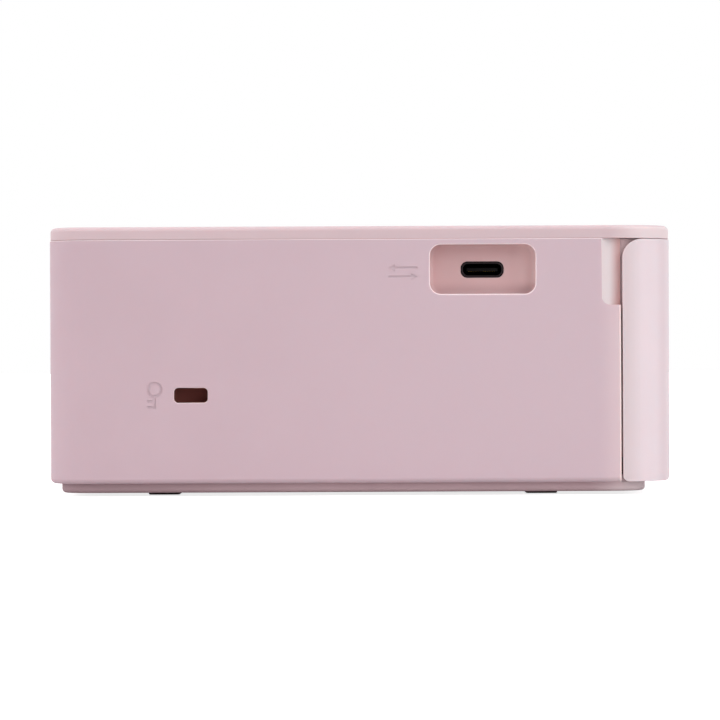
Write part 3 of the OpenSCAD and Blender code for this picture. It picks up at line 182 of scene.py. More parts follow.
def paint_light_and_shade(mat, colour, start, end, axis="Y", only=()):
    """A second colour, for painted light and shade, that comes in along one axis between two places in mm, within
    other such limits.
    """
    tree = mat.node_tree
    target = tree.nodes["Principled BSDF"].inputs["Base Color"]
    coords = add(tree, "ShaderNodeTexCoord")
    axes = add(tree, "ShaderNodeSeparateXYZ", {"Vector": coords.outputs["Object"]})
    amount = 1.0
    for way, low, high in ((axis, start, end), *only):
        ramp = add(tree, "ShaderNodeMapRange", {"Value": axes.outputs[way], "From Min": low * MM,
                                                "From Max": high * MM}, interpolation_type="SMOOTHSTEP")
        amount = add(tree, "ShaderNodeMath", {0: amount, 1: ramp.outputs[0]}, operation="MULTIPLY").outputs[0]
    shade = add(tree, "ShaderNodeMix", {0: amount, 6: target.links[0].from_socket, 7: srgb(colour)},
                data_type="RGBA")
    tree.links.new(shade.outputs[2], target)


print("mid grey a tenth darker is", scaled("#808080", 0.9))

# %% [markdown]
# ## Moulded plastic
# The casing is ABS, moulded in a steel tool whose walls were spark-eroded. That gives a dead even colour and a matte
# skin of tiny pits, about a quarter of a millimetre wide here: the real ones are finer, and are drawn this coarse so
# that they show at all. Thin pale ABS also lets a little light in under its skin, which softens every edge, so the
# outer parts have a weak subsurface glow of about a millimetre. An even noise of the same settings serves every
# plastic part, with its own colour, gloss and pit size.


# %% Moulded finish
def moulded(name, colour, roughness=0.55, grain_mm=0.28, height_mm=0.009, patch_mm=16, spread=0.012, **shader):
    """Moulded plastic: faint colour clouds, eroded grain and a slightly uneven gloss."""
    mat = plain(name, colour, roughness, **shader)
    surface(mat, scaled(colour, 1 - spread), scaled(colour, 1 + spread), patch_mm,
            (roughness - 0.05, roughness + 0.05), patch_mm * 0.6, grain_mm, height_mm)
    return mat


print("moulded finish ready")

# %% Outer casing plastics
SOFT = {"Subsurface_Weight": 0.3, "Subsurface_Scale": 0.0012, "Subsurface_Radius": (1.0, 0.55, 0.5), "spread": 0.004}
# Shell: dusty pink ABS from an eroded tool, so no reflection has an edge on it
shell_painted_light_abs = moulded("eroded_pink_abs_painted_light", "#cab0b9", **SOFT)
# Top panel and display bezel: the same plastic from another tool, a touch warmer
lid_painted_light_abs = moulded("eroded_warm_pink_abs_painted_light", "#d1b9be", **SOFT)
# Front door: the same pink painted paler, as painted light on its round end, with a slightly closer grain so it
# answers the light a little more
door_painted_light_and_shade_abs = moulded("satin_pink_abs_painted_light_and_shade", "#e6d6dc", roughness=0.48, height_mm=0.007, **SOFT)
# Rims: a line of half a mm painted paler, as a painted highlight, and made a little glossier
rim_highlight_abs = moulded("smooth_rim_abs_painted_highlight", "#f9e6ea", roughness=0.4, height_mm=0.004, **SOFT)
# Faces that see only their pink neighbours: light that bounces between pink walls turns warmer than a renderer's
# few bounces make it. So painted bounce light makes the recess warmer than the shell and the seam warmer and paler,
# and painted shade makes the inner half of the rounded edges on both sides of the door's gap a deep red
recess_light_and_shade_abs = moulded("recess_abs_painted_light_and_shade", "#d5b1b2", **SOFT)
gap_shade_abs = moulded("gap_abs_painted_shade", "#c4706a", **SOFT)
seam_painted_light_abs = moulded("seam_abs_painted_light", "#d9b7bb", **SOFT)
# Plinth and inner frame: pink ABS left rougher because it isn't meant to be seen; the plinth is painted a little
# darker than the shell, as painted shade under the shell's overhang
plinth_light_and_shade_abs = moulded("coarse_pink_abs_painted_light_and_shade", "#c1a4aa", roughness=0.62)
frame_painted_light_abs = moulded("inner_pink_abs_painted_light", "#cdb2b9", roughness=0.6)
print("casing plastics made")

# %% [markdown]
# ## Painted light and shade on the plastic
# A moulding is one even colour, yet some light and shade is painted into the colour of these plastics: painted light
# that grows towards the front of the shell and beside the door, a painted highlight on the side of the top panel's
# front corner, painted light on the finger scoop's sloping wall, on the frame's corner behind the door's gap, in the
# recess towards its front wall and at the plinth's front end; painted shade in the scoop by the door, towards both
# edges of the door, low in the recess and along the plinth's rear. Such marks could be painted by hand on a picture of
# the surface. Here each one only follows a direction, so a second colour comes in along one axis, between two places
# in millimetres. Of two colours on one plastic, the later lies on top.

# %% Where a mark ends
left_side = ("X", -84, -88)
below_scoop = ("Z", 41, 40)
panel_edge = ("Z", 57.4, 57.0)
print("the panel's marks end at", panel_edge[1], "mm")

# %% Painted light and shade on the shell, panel and door
# Scoop: painted paler, as painted light on its sloping wall, and painted shade in deep pink towards the door
scoop_light_and_shade_abs = moulded("scoop_abs_painted_light_and_shade", "#e2d6d8", roughness=0.46, height_mm=0.006, **SOFT)
paint_light_and_shade(scoop_light_and_shade_abs, "#d9a9a6", -53, -55.8)
# Shell: painted light that grows slowly towards the front and more beside the door, and a painted highlight a fifth of
# a mm wide on its edge
paint_light_and_shade(shell_painted_light_abs, "#ceb6bf", 60, -50)
paint_light_and_shade(shell_painted_light_abs, "#dac2c8", -50, -55.8, only=(left_side,))
paint_light_and_shade(shell_painted_light_abs, "#fbe0de", -55.14, -55.34, only=(left_side, below_scoop))
# Top panel: a painted highlight on the side of its front corner, below the rounded top
paint_light_and_shade(lid_painted_light_abs, "#e4d2d5", -52, -61, only=(panel_edge,))
# Door: painted shade towards its rear edge and towards its front corner
paint_light_and_shade(door_painted_light_and_shade_abs, "#dbcace", -61, -56.5, only=(left_side,))
paint_light_and_shade(door_painted_light_and_shade_abs, "#d6bec4", -62.9, -66.5, only=(left_side,))
print("handled shell and door made")

# %% Painted light and shade on the recess, frame and plinth
# Recess: painted light towards its front wall, and painted shade low down along its lower wall
paint_light_and_shade(recess_light_and_shade_abs, "#e8caca", -32, -37)
paint_light_and_shade(recess_light_and_shade_abs, "#c2a0a2", 46, 43, axis="Z")
# Frame: painted light round its left front corner, which shows through the door's gap
paint_light_and_shade(frame_painted_light_abs, "#e6cccf", -80, -87, axis="X")
# Plinth: painted shade towards the rear, painted light at the front end
paint_light_and_shade(plinth_light_and_shade_abs, "#ab8f95", 5, 60)
paint_light_and_shade(plinth_light_and_shade_abs, "#f6e2e6", -48, -60)
print("handled recess and plinth made")

# %% Keys and small coloured mouldings
# Keys: pink ABS with a satin top that fingertips have closed
key_abs = moulded("satin_pink_key_abs", "#dcc1c9", roughness=0.42, grain_mm=0.2, height_mm=0.005)
key_pale_abs = moulded("satin_ivory_pink_key_abs", "#f0e2e5", roughness=0.4, grain_mm=0.2, height_mm=0.005)
lever_abs = moulded("satin_rose_lever_abs", "#c79ea8", roughness=0.45)
# Pad print on the keys: ink a few hundredths thick, flat and a little chalky
legend_ink = moulded("pad_printed_rose_ink", "#8a6168", roughness=0.5, grain_mm=0.12, height_mm=0.003, patch_mm=1.5,
                     spread=0.04)
print("key plastics made")

# %% Inner plastics
# Chassis parts: nylon filled with short glass, which leaves a cloudy dark grey with a coarser skin
dark_abs = moulded("glass_filled_charcoal_nylon", "#3a3c40", roughness=0.6, grain_mm=0.5, height_mm=0.012, spread=0.06)
black_abs = moulded("black_connector_plastic", "#131214", roughness=0.45, grain_mm=0.3, height_mm=0.008, spread=0.1)
# Socket tongue: a heat-proof polymer that swallows light; its black is also the painted shade inside the socket's
# shell
tongue_and_shade_black = moulded("dull_black_tongue_polymer_and_painted_shade", "#0a090a", roughness=0.85, grain_mm=0.3, height_mm=0.006, spread=0.1,
                     Specular_IOR_Level=0.15)
# Cassette: ivory polystyrene, harder and glossier than ABS
ivory_abs = moulded("ivory_cassette_polystyrene", "#e6e1d6", roughness=0.45, height_mm=0.01)
# Gears: natural acetal, waxy and slightly see-through at the teeth
acetal = moulded("natural_acetal", "#ebe8e0", roughness=0.38, grain_mm=0.6, height_mm=0.006,
                 Subsurface_Weight=0.08, Subsurface_Scale=0.002)
core_brown = moulded("brown_spool_core_plastic", "#4b3a30", roughness=0.5)
# Inside of the lock slot: painted shade, pink plastic painted the deep red it shows where little light reaches
slot_shade_abs = moulded("slot_abs_painted_shade", "#a4625a", roughness=0.75, Specular_IOR_Level=0.2)
print("inner plastics made")

# %% [markdown]
# ## Rubber
# The feet and the rollers are moulded rubber. Rubber scatters nearly all light, so it is very rough, and its relief
# is deeper than a plastic's: the rollers are ground after moulding, which leaves a fine nap.

# %% Rubbers
foot_rubber = moulded("moulded_foot_rubber", "#857675", roughness=0.85, grain_mm=0.5, height_mm=0.03, spread=0.07)
roller_rubber = moulded("ground_roller_rubber", "#232326", roughness=0.78, grain_mm=0.35, height_mm=0.02, spread=0.1)
print("rubbers made")

# %% [markdown]
# ## Metals
# A metal shows its making as direction: a ground shaft has rings, rolled sheet has soft blooms of zinc, an
# extrusion has long lines. One noise drawn out along an axis gives each of these. The colour belongs to the metal
# itself, so these are fully metallic.


# %% Metal finish
def metal(name, colour, roughness, stretch=(1, 1, 1), size_mm=0.4, height_mm=0.006, spread=0.05, patch_mm=4):
    """Metal with a directional finish: stretch below 1 draws the marks out along that axis."""
    mat = plain(name, colour, roughness, 1.0)
    surface(mat, scaled(colour, 1 - spread), scaled(colour, 1 + spread / 2), patch_mm,
            (roughness * 0.75, roughness * 1.3), size_mm * 3, size_mm, height_mm, stretch)
    return mat


print("metal finish ready")

# %% Steels
# Capstan: steel pricked all over so that it grips the paper
grit_steel = metal("pricked_capstan_steel", "#9aa0a4", 0.5, size_mm=0.22, height_mm=0.05)
# Shafts are ground, so their lines run round them: fine along X, and drawn out across it
shaft_steel = metal("ground_shaft_steel", "#c3c7ca", 0.24, stretch=(1, 0.2, 0.2), height_mm=0.003)
# Side plates: hot-dip galvanised sheet with a bloom of crystals a few millimetres wide
zinc_sheet = metal("galvanised_steel_sheet", "#b7bcc0", 0.38, size_mm=3.5, height_mm=0.012, spread=0.09, patch_mm=6)
can_steel = metal("nickel_plated_motor_can", "#aeb3b6", 0.3, stretch=(0.1, 1, 1), size_mm=0.5, height_mm=0.004)
screw_steel = metal("zinc_plated_screw_steel", "#b9bcc0", 0.32, size_mm=0.5)
# Socket shell: nickel-plated steel painted far darker than nickel, as painted shade, so that only its rim shows light
socket_steel_shade = metal("drawn_nickel_plated_steel_painted_shade", "#2f292b", 0.3, stretch=(0.1, 1, 1), size_mm=0.3, height_mm=0.003)
# Lock plate: browned sheet, painted a red-brown to match the slot's painted shade, and painted light towards the front
lock_steel_light_and_shade = metal("browned_lock_steel_painted_light_and_shade", "#6b4a44", 0.55, size_mm=0.5, height_mm=0.01)
paint_light_and_shade(lock_steel_light_and_shade, "#c9a298", 37.5, 33)
print("steels made")

# %% Other metals
head_aluminium = metal("extruded_aluminium", "#a7abae", 0.42, stretch=(0.04, 1, 1), size_mm=0.5, height_mm=0.01)
pinion_brass = metal("hobbed_brass", "#c5a75d", 0.3, size_mm=0.3, height_mm=0.004)
pad_gold = metal("flash_gold_plating", "#c29a48", 0.35, size_mm=0.2, height_mm=0.002)
# Print head: glazed ceramic, glassy smooth where the film runs over it
head_ceramic = moulded("glazed_head_ceramic", "#4d3f38", roughness=0.18, grain_mm=0.4, height_mm=0.002)
print("other metals made")

# %% [markdown]
# ## Films
# The ribbon is a polyester film some thousandths thick, coated with dye: bright yellow on the full spool, muddy
# where it is spent. Wound film is glossy and shows faint bands from winding, about 6 mm wide. The flat cable is amber
# polyimide. A stack of thin sheets could be modelled layer by layer, but wound tight it reads as one solid.

# %% Films
yellow_film = moulded("yellow_dye_film", "#e2bd2e", roughness=0.2, grain_mm=6, height_mm=0.01, patch_mm=9)
used_film = moulded("spent_dye_film", "#6b4a3c", roughness=0.24, grain_mm=6, height_mm=0.012, patch_mm=5, spread=0.12)
flex_film = moulded("amber_polyimide_film", "#a9743a", roughness=0.32, grain_mm=0.5, height_mm=0.004)
print("films made")

# %% [markdown]
# ## Circuit board
# A board is glass cloth and epoxy with copper tracks under a green lacquer, the solder mask. Tracks lie under the
# lacquer as faint raised lines in bundles that run one way and then the other, and small dots of bare metal mark
# the holes that join the layers. The bundles are stripes, and a block pattern chooses for each place whether they
# run along X or Y.

# %% Sizes on a board
track_mm, block_mm, via_mm = 0.9, 7, 3.2
print("a block holds about", round(block_mm / track_mm), "tracks")


# %% Stripes
def stripes(tree, along, pitch):
    """How far a place lies across its stripe, from 0 to 1."""
    turns = add(tree, "ShaderNodeMath", {0: along, 1: pitch}, operation="DIVIDE")
    return add(tree, "ShaderNodeMath", {0: turns.outputs[0]}, operation="FRACT").outputs[0]


print("stripes ready")


# %% Board finish
def board(name, mask, track):
    """Solder mask over copper tracks, with via dots."""
    mat = plain(name, mask, 0.32)
    tree = mat.node_tree
    bsdf = tree.nodes["Principled BSDF"]
    coords = add(tree, "ShaderNodeTexCoord")
    place = add(tree, "ShaderNodeMapping", {"Vector": coords.outputs["Object"], "Scale": [PER_M] * 3})
    axes = add(tree, "ShaderNodeSeparateXYZ", {"Vector": place.outputs[0]})
    lines = []
    for axis in "YX":
        across = stripes(tree, axes.outputs[axis], track_mm)
        lines.append(add(tree, "ShaderNodeMapRange", {"Value": across, "From Min": 0.3, "From Max": 0.34,
                                                      "To Min": 1.0, "To Max": 0.0}))
    blocks = add(tree, "ShaderNodeTexVoronoi", {"Vector": place.outputs[0], "Scale": 1 / block_mm},
                 distance="MANHATTAN")
    choice = add(tree, "ShaderNodeMath", {0: blocks.outputs["Color"], 1: 0.5}, operation="GREATER_THAN")
    tracks = add(tree, "ShaderNodeMix", {0: choice.outputs[0], 2: lines[0].outputs[0], 3: lines[1].outputs[0]},
                 data_type="FLOAT")
    green = add(tree, "ShaderNodeMix", {0: tracks.outputs[0], 6: srgb(mask), 7: srgb(track)}, data_type="RGBA")
    holes = add(tree, "ShaderNodeTexVoronoi", {"Vector": place.outputs[0], "Scale": 1 / via_mm})
    dots = add(tree, "ShaderNodeMath", {0: holes.outputs["Distance"], 1: 0.12}, operation="LESS_THAN")
    tinned = add(tree, "ShaderNodeMix", {0: dots.outputs[0], 6: green.outputs[2], 7: srgb("#c9c2a2")},
                 data_type="RGBA")
    tree.links.new(tinned.outputs[2], bsdf.inputs["Base Color"])
    bump = add(tree, "ShaderNodeBump", {"Height": tracks.outputs[0], "Distance": 0.02 * MM})
    tree.links.new(bump.outputs["Normal"], bsdf.inputs["Normal"])
    return mat


board_green = board("green_solder_mask", "#1d5a3c", "#2d7a52")
# Sawn edge of the board, and what is soldered on it
board_edge = moulded("sawn_glass_epoxy", "#b8a86a", roughness=0.6, grain_mm=0.15, height_mm=0.01)
chip_black = moulded("moulded_chip_epoxy", "#1d1e20", grain_mm=0.2, height_mm=0.006, spread=0.06)
cap_sleeve = moulded("shrunk_blue_capacitor_sleeve", "#1f2c4e", roughness=0.35, grain_mm=1, height_mm=0.004)
inductor_yellow = moulded("yellow_winding_tape", "#c8a53a", roughness=0.4, grain_mm=1, height_mm=0.01)
connector_white = moulded("white_connector_nylon", "#dfdccf", roughness=0.45)
print("board finishes made")

# %% [markdown]
# ## Display
# The display is float glass with a black frame printed behind it. Seen switched off, the picture area is only a
# shade lighter and bluer than the frame. Printing the frame as its own sheet would need a gap in the glass, so the
# glass itself changes colour where the picture begins. Behind it the cells stand in columns 0.24 mm apart.

# %% Glass
picture_x, picture_y = (-54.7, 24.7), (-23.5, 30.5)
screen_glass = plain("printed_cover_glass", "#0b0c0e", 0.08, Specular_IOR_Level=0.25)
tree = screen_glass.node_tree
bsdf = tree.nodes["Principled BSDF"]
coords = add(tree, "ShaderNodeTexCoord")
axes = add(tree, "ShaderNodeSeparateXYZ", {"Vector": coords.outputs["Object"]})
inside = None
for axis, (low, high) in (("X", picture_x), ("Y", picture_y)):
    for limit, operation in ((low, "GREATER_THAN"), (high, "LESS_THAN")):
        test = add(tree, "ShaderNodeMath", {0: axes.outputs[axis], 1: limit * MM}, operation=operation)
        inside = test.outputs[0] if inside is None else add(
            tree, "ShaderNodeMath", {0: inside, 1: test.outputs[0]}, operation="MULTIPLY").outputs[0]
shade = add(tree, "ShaderNodeMix", {0: inside, 6: srgb("#0a0a0c"), 7: srgb("#1a1e26")}, data_type="RGBA")
tree.links.new(shade.outputs[2], bsdf.inputs["Base Color"])
smear_mm = 30
smear = add(tree, "ShaderNodeTexNoise", {"Vector": coords.outputs["Object"], "Scale": PER_M / smear_mm})
rough = add(tree, "ShaderNodeMapRange", {"Value": smear.outputs["Fac"], "From Min": 0.3, "From Max": 0.7,
                                         "To Min": 0.05, "To Max": 0.11})
tree.links.new(rough.outputs["Result"], bsdf.inputs["Roughness"])
print("picture area is", picture_x[1] - picture_x[0], "x", picture_y[1] - picture_y[0], "mm")

# %% Cells
column_mm = 0.24
lcd_cells = plain("display_cell_film", "#10141c", 0.2)
tree = lcd_cells.node_tree
coords = add(tree, "ShaderNodeTexCoord")
axes = add(tree, "ShaderNodeSeparateXYZ", {"Vector": coords.outputs["Object"]})
across = stripes(tree, axes.outputs["X"], column_mm * MM)
column = add(tree, "ShaderNodeMath", {0: across, 1: 0.8}, operation="LESS_THAN")
shade = add(tree, "ShaderNodeMix", {0: column.outputs[0], 6: srgb("#07090c"), 7: srgb("#1c2430")}, data_type="RGBA")
tree.links.new(shade.outputs[2], tree.nodes["Principled BSDF"].inputs["Base Color"])
print(len(bpy.data.materials), "materials made")

# %% [markdown]
# ## Rounded copies of the CAD parts
# No moulded or stamped edge is truly sharp, and a CAD solid's edges are. Without a small radius an edge catches no
# light and the part looks like paper. A bevel modifier could round every edge alike, but real parts differ: the
# shell's bottom edge is well rounded, the rim under the top panel only broken. So `skin` copies a part's mesh,
# merges its flat triangles into whole faces, and rounds its sharp edges by rules on where they lie. It gives
# each face a material the same way. The copy stands for the CAD part and rides on the same body.


# %% Into the scene
def placed(name, data):
    """An object that shows a mesh, a lamp or a camera."""
    obj = bpy.data.objects.new(name, data)
    bpy.context.scene.collection.objects.link(obj)
    return obj


def finished(bm, name, mat, body):
    """Turns a worked mesh into a piece that rides on a body."""
    mesh = bpy.data.meshes.new(name)
    bm.to_mesh(mesh)
    bm.free()
    mesh.materials.append(mat)
    obj = placed(name, mesh)
    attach(obj, body)
    return obj


print("helpers ready")


# %% Rounding
def rounded(bm, edges, width, segments):
    """Rounds edges by a width in mm, and gives the new faces."""
    return bmesh.ops.bevel(bm, geom=edges, offset=width * MM, offset_type="OFFSET", segments=segments, profile=0.5,
                           affect="EDGES", clamp_overlap=True)["faces"]


# what counts as one point, as flat and as sharp
WELD, FLAT, SHARP = 0.002 * MM, math.radians(0.6), math.radians(32)
print("edges over", round(math.degrees(SHARP)), "degrees are rounded")


# %% Skin
def skin(name, mat, width=0.15, segments=2, rules=(), paint=None, extra=(), move=None):
    """A rounded copy of a CAD part.
    rules: (test on an edge's middle, width, segments), tried in turn before the general width.
    paint: from a face's centre and normal to an index in [mat, *extra].
    move: from a corner's place to its new place, before the rounding."""
    mesh = nodes[name].data.copy()
    mesh.name = name + "_skin"
    obj = placed(name + "_skin", mesh)
    mesh.materials.clear()
    for m in [mat, *extra]:
        mesh.materials.append(m)
    bm = bmesh.new()
    bm.from_mesh(mesh)
    bmesh.ops.remove_doubles(bm, verts=bm.verts, dist=WELD)
    bmesh.ops.dissolve_limit(bm, angle_limit=FLAT, verts=bm.verts, edges=bm.edges)
    if move:
        for v in bm.verts:
            v.co = Vector(move(v.co * PER_M)) * MM
    done = set()
    for test, w, seg in list(rules) + [(lambda p: True, width, segments)]:
        sharp = [e for e in bm.edges if len(e.link_faces) == 2 and e not in done
                 and e.calc_face_angle(0) > SHARP and test((e.verts[0].co + e.verts[1].co) / 2 * PER_M)]
        if w > 0 and sharp:
            made = rounded(bm, sharp, w, seg)
            done = {e for e in done if e.is_valid}
            for f in made:
                done.update(f.edges)
        else:
            done.update(sharp)
    for f in bm.faces:
        f.smooth = True
        f.material_index = paint(f.calc_center_median() * PER_M, f.normal) if paint else 0
    bm.to_mesh(mesh)
    bm.free()
    shade = obj.modifiers.new("flat faces stay flat", "WEIGHTED_NORMAL")
    shade.keep_sharp = True
    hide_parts(name)
    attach(obj, nodes[name]["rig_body"])
    return obj


print("skin ready")

# %% The printer's outline
HALF_WIDTH, HALF_DEPTH = 91, 66.5
LEFT = -HALF_WIDTH
PLINTH_LOW, SHELL_LOW, SHELL_TOP, PANEL_LOW, PANEL_TOP = 0.5, 2.8, 54.7, 55, 57.6
print("outline", 2 * HALF_WIDTH, "x", 2 * HALF_DEPTH, "x", PANEL_TOP, "mm")


# %% Tests on places
def near(p, axis, value, slack=0.06):
    """True where a point lies on a plane across one axis."""
    return abs(p["xyz".index(axis)] - value) < slack


def within(p, x=None, y=None, z=None):
    """True where a point lies inside the given ranges."""
    return all(r is None or r[0] <= p[i] <= r[1] for i, r in enumerate((x, y, z)))


def about(centre, reach):
    """The range that reaches as far to both sides of a centre."""
    return (centre - reach, centre + reach)


def outer(p, inset=0.35):
    """True on the printer's outer walls, and anywhere in its rounded corners."""
    in_corner = abs(p.x) > 80 and abs(p.y) > 56
    return abs(p.x) > HALF_WIDTH - inset or abs(p.y) > HALF_DEPTH - inset or in_corner


print("tests ready")

# %% [markdown]
# ## Shell
# The shell is one deep moulding with everything that shows on the left side: the recess round the data socket, the
# lock slot, two engraved signs and the finger scoop beside the door. The recess and the slot have soft rims, with a
# painted highlight in a fine line round them, and the floor of the recess runs into its walls with a radius, as a
# moulding tool needs. The slot, the recess, the scoop, the seam and the door's gap have light and shade painted
# into their plastics. Engraved lines are a fifth of a millimetre deep and stay sharp. A few features then move by
# tenths of a millimetre from where the CAD has them, each with all its corners, so nothing is bent.


# %% Shell's places
def middle(box, shift):
    """The middle of a box across Y and Z, in mm, moved by a shift."""
    return [(box[0][i] + box[1][i]) / 2 * PER_M + shift[i - 1] for i in (1, 2)]


def moved(shift):
    """A move of a whole part or feature along Y and Z."""
    return lambda p: (p.x, p.y + shift[0], p.z + shift[1])


SLOT_SHIFT, SOCKET_SHIFT = (0.2, 0.4), (0, 0.2)
SKIN_DEEP = 88  # beyond this lies nothing but the shell's left wall
GAP_EDGE = -55.3  # in front of this, an edge of the shell faces the door
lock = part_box("lock_plate")
lock_y, lock_z = middle(lock, SLOT_SHIFT)
socket_y, socket_z = middle(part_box("usb_shell"), SOCKET_SHIFT)
print("lock slot at", round(lock_y), round(lock_z), "socket at", round(socket_y), round(socket_z))

# %% Plastics of the shell
# Besides the shell's own plastic: painted shade in the slot and the door's gap, painted light and shade in the recess
# and the scoop, painted light in the seam, and painted highlights on the rims
SHELL, WELL, RECESS, GAP, SCOOP, RIM_HIGHLIGHT, SEAM = range(7)
shell_extra = [slot_shade_abs, recess_light_and_shade_abs, gap_shade_abs, scoop_light_and_shade_abs, rim_highlight_abs, seam_painted_light_abs]


def shell_finish(c, n):
    """Which plastic a face of the shell shows, with the light and shade painted into it. Rims and floors are told
    apart by how deep a face lies.
    """
    deep = c.x - LEFT
    if within(c, (-90.98, -88.2), about(lock_y, 4.4), about(lock_z, 2.2)):
        return WELL if deep > 0.34 else RIM_HIGHLIGHT
    if within(c, (-90.98, -85.9), about(socket_y, 12.3), about(socket_z, 6.2)):
        return RECESS if deep > 0.48 else RIM_HIGHLIGHT
    if c.z > 54.5 and n.z > 0.9:
        return SEAM
    # painted shade: the inner half of the rounded edge beside the door's gap
    if deep < 0.3 and c.y < -55.2 and n.y < -0.7:
        return GAP
    top_rim = c.z > 54.46 and n.z > 0.15 and outer(c)
    door_rim = deep < 0.5 and c.y < -55.1 and n.y < -0.15
    if top_rim or door_rim:
        return RIM_HIGHLIGHT
    if within(c, (-90.97, -88.6), (-55.8, -51.2), (40.2, 54.5)):
        return SCOOP
    return SHELL


print("shell shows", len(shell_extra) + 1, "plastics")


# %% Corrections of place on the shell
def shell_places(p):
    """The edge beside the door, the two openings, and a larger sign by the slot."""
    if p.x < -SKIN_DEEP and p.y < -54:
        return (p.x, p.y + 0.31 * min(1, (-54 - p.y) / 1.85), p.z)
    if within(p, (-91.1, -88.2), (lock_y - 4.4, lock_y + 4.2), (lock_z - 2.4, lock_z + 2)):
        return moved(SLOT_SHIFT)(p)
    if within(p, (-92, -90), (lock_y + 4.6, lock_y + 11), about(lock_z, 4)):
        larger = 1.15
        return (p.x, lock_y + 8 + (p.y - lock_y - 7.7) * larger, lock_z + 0.5 + (p.z - lock_z) * larger)
    if within(p, (-91.1, -84), about(socket_y, 12.3), (socket_z - 6.2, socket_z + 6)):
        y, z = p.y - socket_y, p.z - socket_z + SOCKET_SHIFT[1]
        is_wall = max(abs(y) / 11.5, abs(z) / 5.5) > 0.9
        narrower, lower = (0.975, 0.955) if is_wall else (1, 1)
        return (p.x, socket_y + y * narrower, socket_z + z * lower)
    return p


signs = [((-92, -90), (socket_y + 12.5, socket_y + 21.5), about(socket_z, 3)),
         ((-92, -90), (lock_y + 5, lock_y + 10.5), (lock_z - 3.5, lock_z + 4.5))]
print(len(signs), "signs stay sharp")


# %% Edges of the shell
def recess_floor(p):
    """True where the recess's floor meets its walls, but not round the socket's opening."""
    return (near(p, "x", -86.4) and within(p, None, (-37.8, -14.6), (42.4, 53.6))
            and not within(p, None, (-31, -21), (46, 50)))


housing = skin("housing", shell_painted_light_abs, rules=[
    (lambda p: any(within(p, *sign) for sign in signs), 0, 1),
    (lambda p: near(p, "z", SHELL_LOW) and outer(p), 1.1, 5),
    (lambda p: near(p, "z", SHELL_TOP) and outer(p), 0.3, 3),
    (lambda p: near(p, "x", LEFT) and within(p, None, (-39, -14), (41, 54.4)), 0.32, 4),
    (recess_floor, 0.9, 5),
    (lambda p: near(p, "x", LEFT) and within(p, None, (31, 41), (18, 25)), 0.35, 3),
    (lambda p: p.x < -SKIN_DEEP and GAP_EDGE < p.y < -50, 0.4, 3),
    (lambda p: p.x < -SKIN_DEEP and p.y < GAP_EDGE, 0.15, 2),
], paint=shell_finish, move=shell_places, extra=shell_extra)
print("shell", len(housing.data.polygons), "faces")

# %% [markdown]
# ## Top panel
# A shallow moulded lid whose upper edge is fully rounded. It sits on the shell with a seam of about 0.3 mm. Light
# creeps into a seam between two pale plastics from all sides, more than a render's few bounces show, and a full gap
# would draw a black line. So the lid's lower edge reaches a quarter of a mm further down, a little more over the
# door, and the faces in the seam get painted light: they take the paler seam plastic. The lid's rounded top sinks by
# a tenth of its height, so that the keys stand a hair proud of it.

# %% Heights of the top panel
over_shell, over_door, door_starts = 54.77, 54.65, -57
round_from, sunk = 56.4, 0.9
print("the seam is", round(over_shell - SHELL_TOP, 2), "mm wide over the shell")


# %% Top panel
def panel_rim(p):
    """The outer lower edge goes down, and so does the rounded top."""
    if near(p, "z", PANEL_LOW) and outer(p):
        return (p.x, p.y, over_shell if p.y > door_starts else over_door)
    return (p.x, p.y, round_from + (p.z - round_from) * sunk) if p.z > round_from else p


# Faces in the seam take the seam plastic, as painted light
skin("top_cover", lid_painted_light_abs, 0.22, 3, rules=[
    (lambda p: p.z > 57 and outer(p, 3), 0, 1),
    (lambda p: 54.6 < p.z < 54.8 and outer(p), 0.12, 3),
    (lambda p: p.z < 54.6, 0.08, 1),
], move=panel_rim, paint=lambda c, n: 1 if c.z < 54.85 else 0, extra=[seam_painted_light_abs])
print("top panel made")

# %% [markdown]
# ## Base, feet and screws
# The plinth stands back under the shell, so the printer seems to float. Its lower edge is well rounded and is the
# only part that catches light. That edge is found by its height and by lying outside the screw wells: a bevel stops
# where its edges get too short, so one tiny edge among them would keep the whole rounding small. The feet are moulded
# rubber pads, let into the plinth, whose underside is lifted by 0.3 mm so that they show under it.

# %% Base
lifted = PLINTH_LOW + 0.3
skin("base_tray", plinth_light_and_shade_abs, 0.3, move=lambda p: (p.x, p.y, lifted) if near(p, "z", PLINTH_LOW) else p, rules=[
    (lambda p: near(p, "z", lifted) and (abs(p.x) > 83 or abs(p.y) > 59), 0.9, 5)])
skin("rubber_feet", foot_rubber, 0.2)
skin("case_screws", screw_steel, 0.08)
skin("front_frame", frame_painted_light_abs, 0.2)
print("base made")

# %% [markdown]
# ## Doors
# The front door wraps round the left corner, so its end shows from the side as a pale upright strip with rounded
# corners. It turns on two steel pins at its foot. The ribbon door on the right snaps on two moulded pins.


# %% Doors
def door_edge(p):
    """The round end's rear edge moves with the shell's, so that the gap between them stays narrow."""
    flat_from, strip, shift = -60, 3.8, 0.27
    return (p.x, p.y + shift * (p.y - flat_from) / strip, p.z) if p.x < -85 and p.y > flat_from else p


# The inner half of the door's rounded rear edge is painted deep red, as painted shade in the gap
skin("front_door", door_painted_light_and_shade_abs, 0.3, 4, move=door_edge, rules=[
    (lambda p: -64.5 < p.y <= -60 and 0 <= p.z <= 9, 0.08, 1),
], paint=lambda c, n: 1 if n.y > 0.5 and c.x < -90.6 else 0, extra=[gap_shade_abs])
skin("door_pins", shaft_steel, 0.08)
skin("ribbon_door", shell_painted_light_abs, 0.2)
print("doors made")

# %% [markdown]
# ## Display
# The display is a sandwich: a bezel and a back shell that hold the glass, with the cell panel under it and a flat
# cable down to the board. Glass edges are ground to a small chamfer, here 0.12 mm.

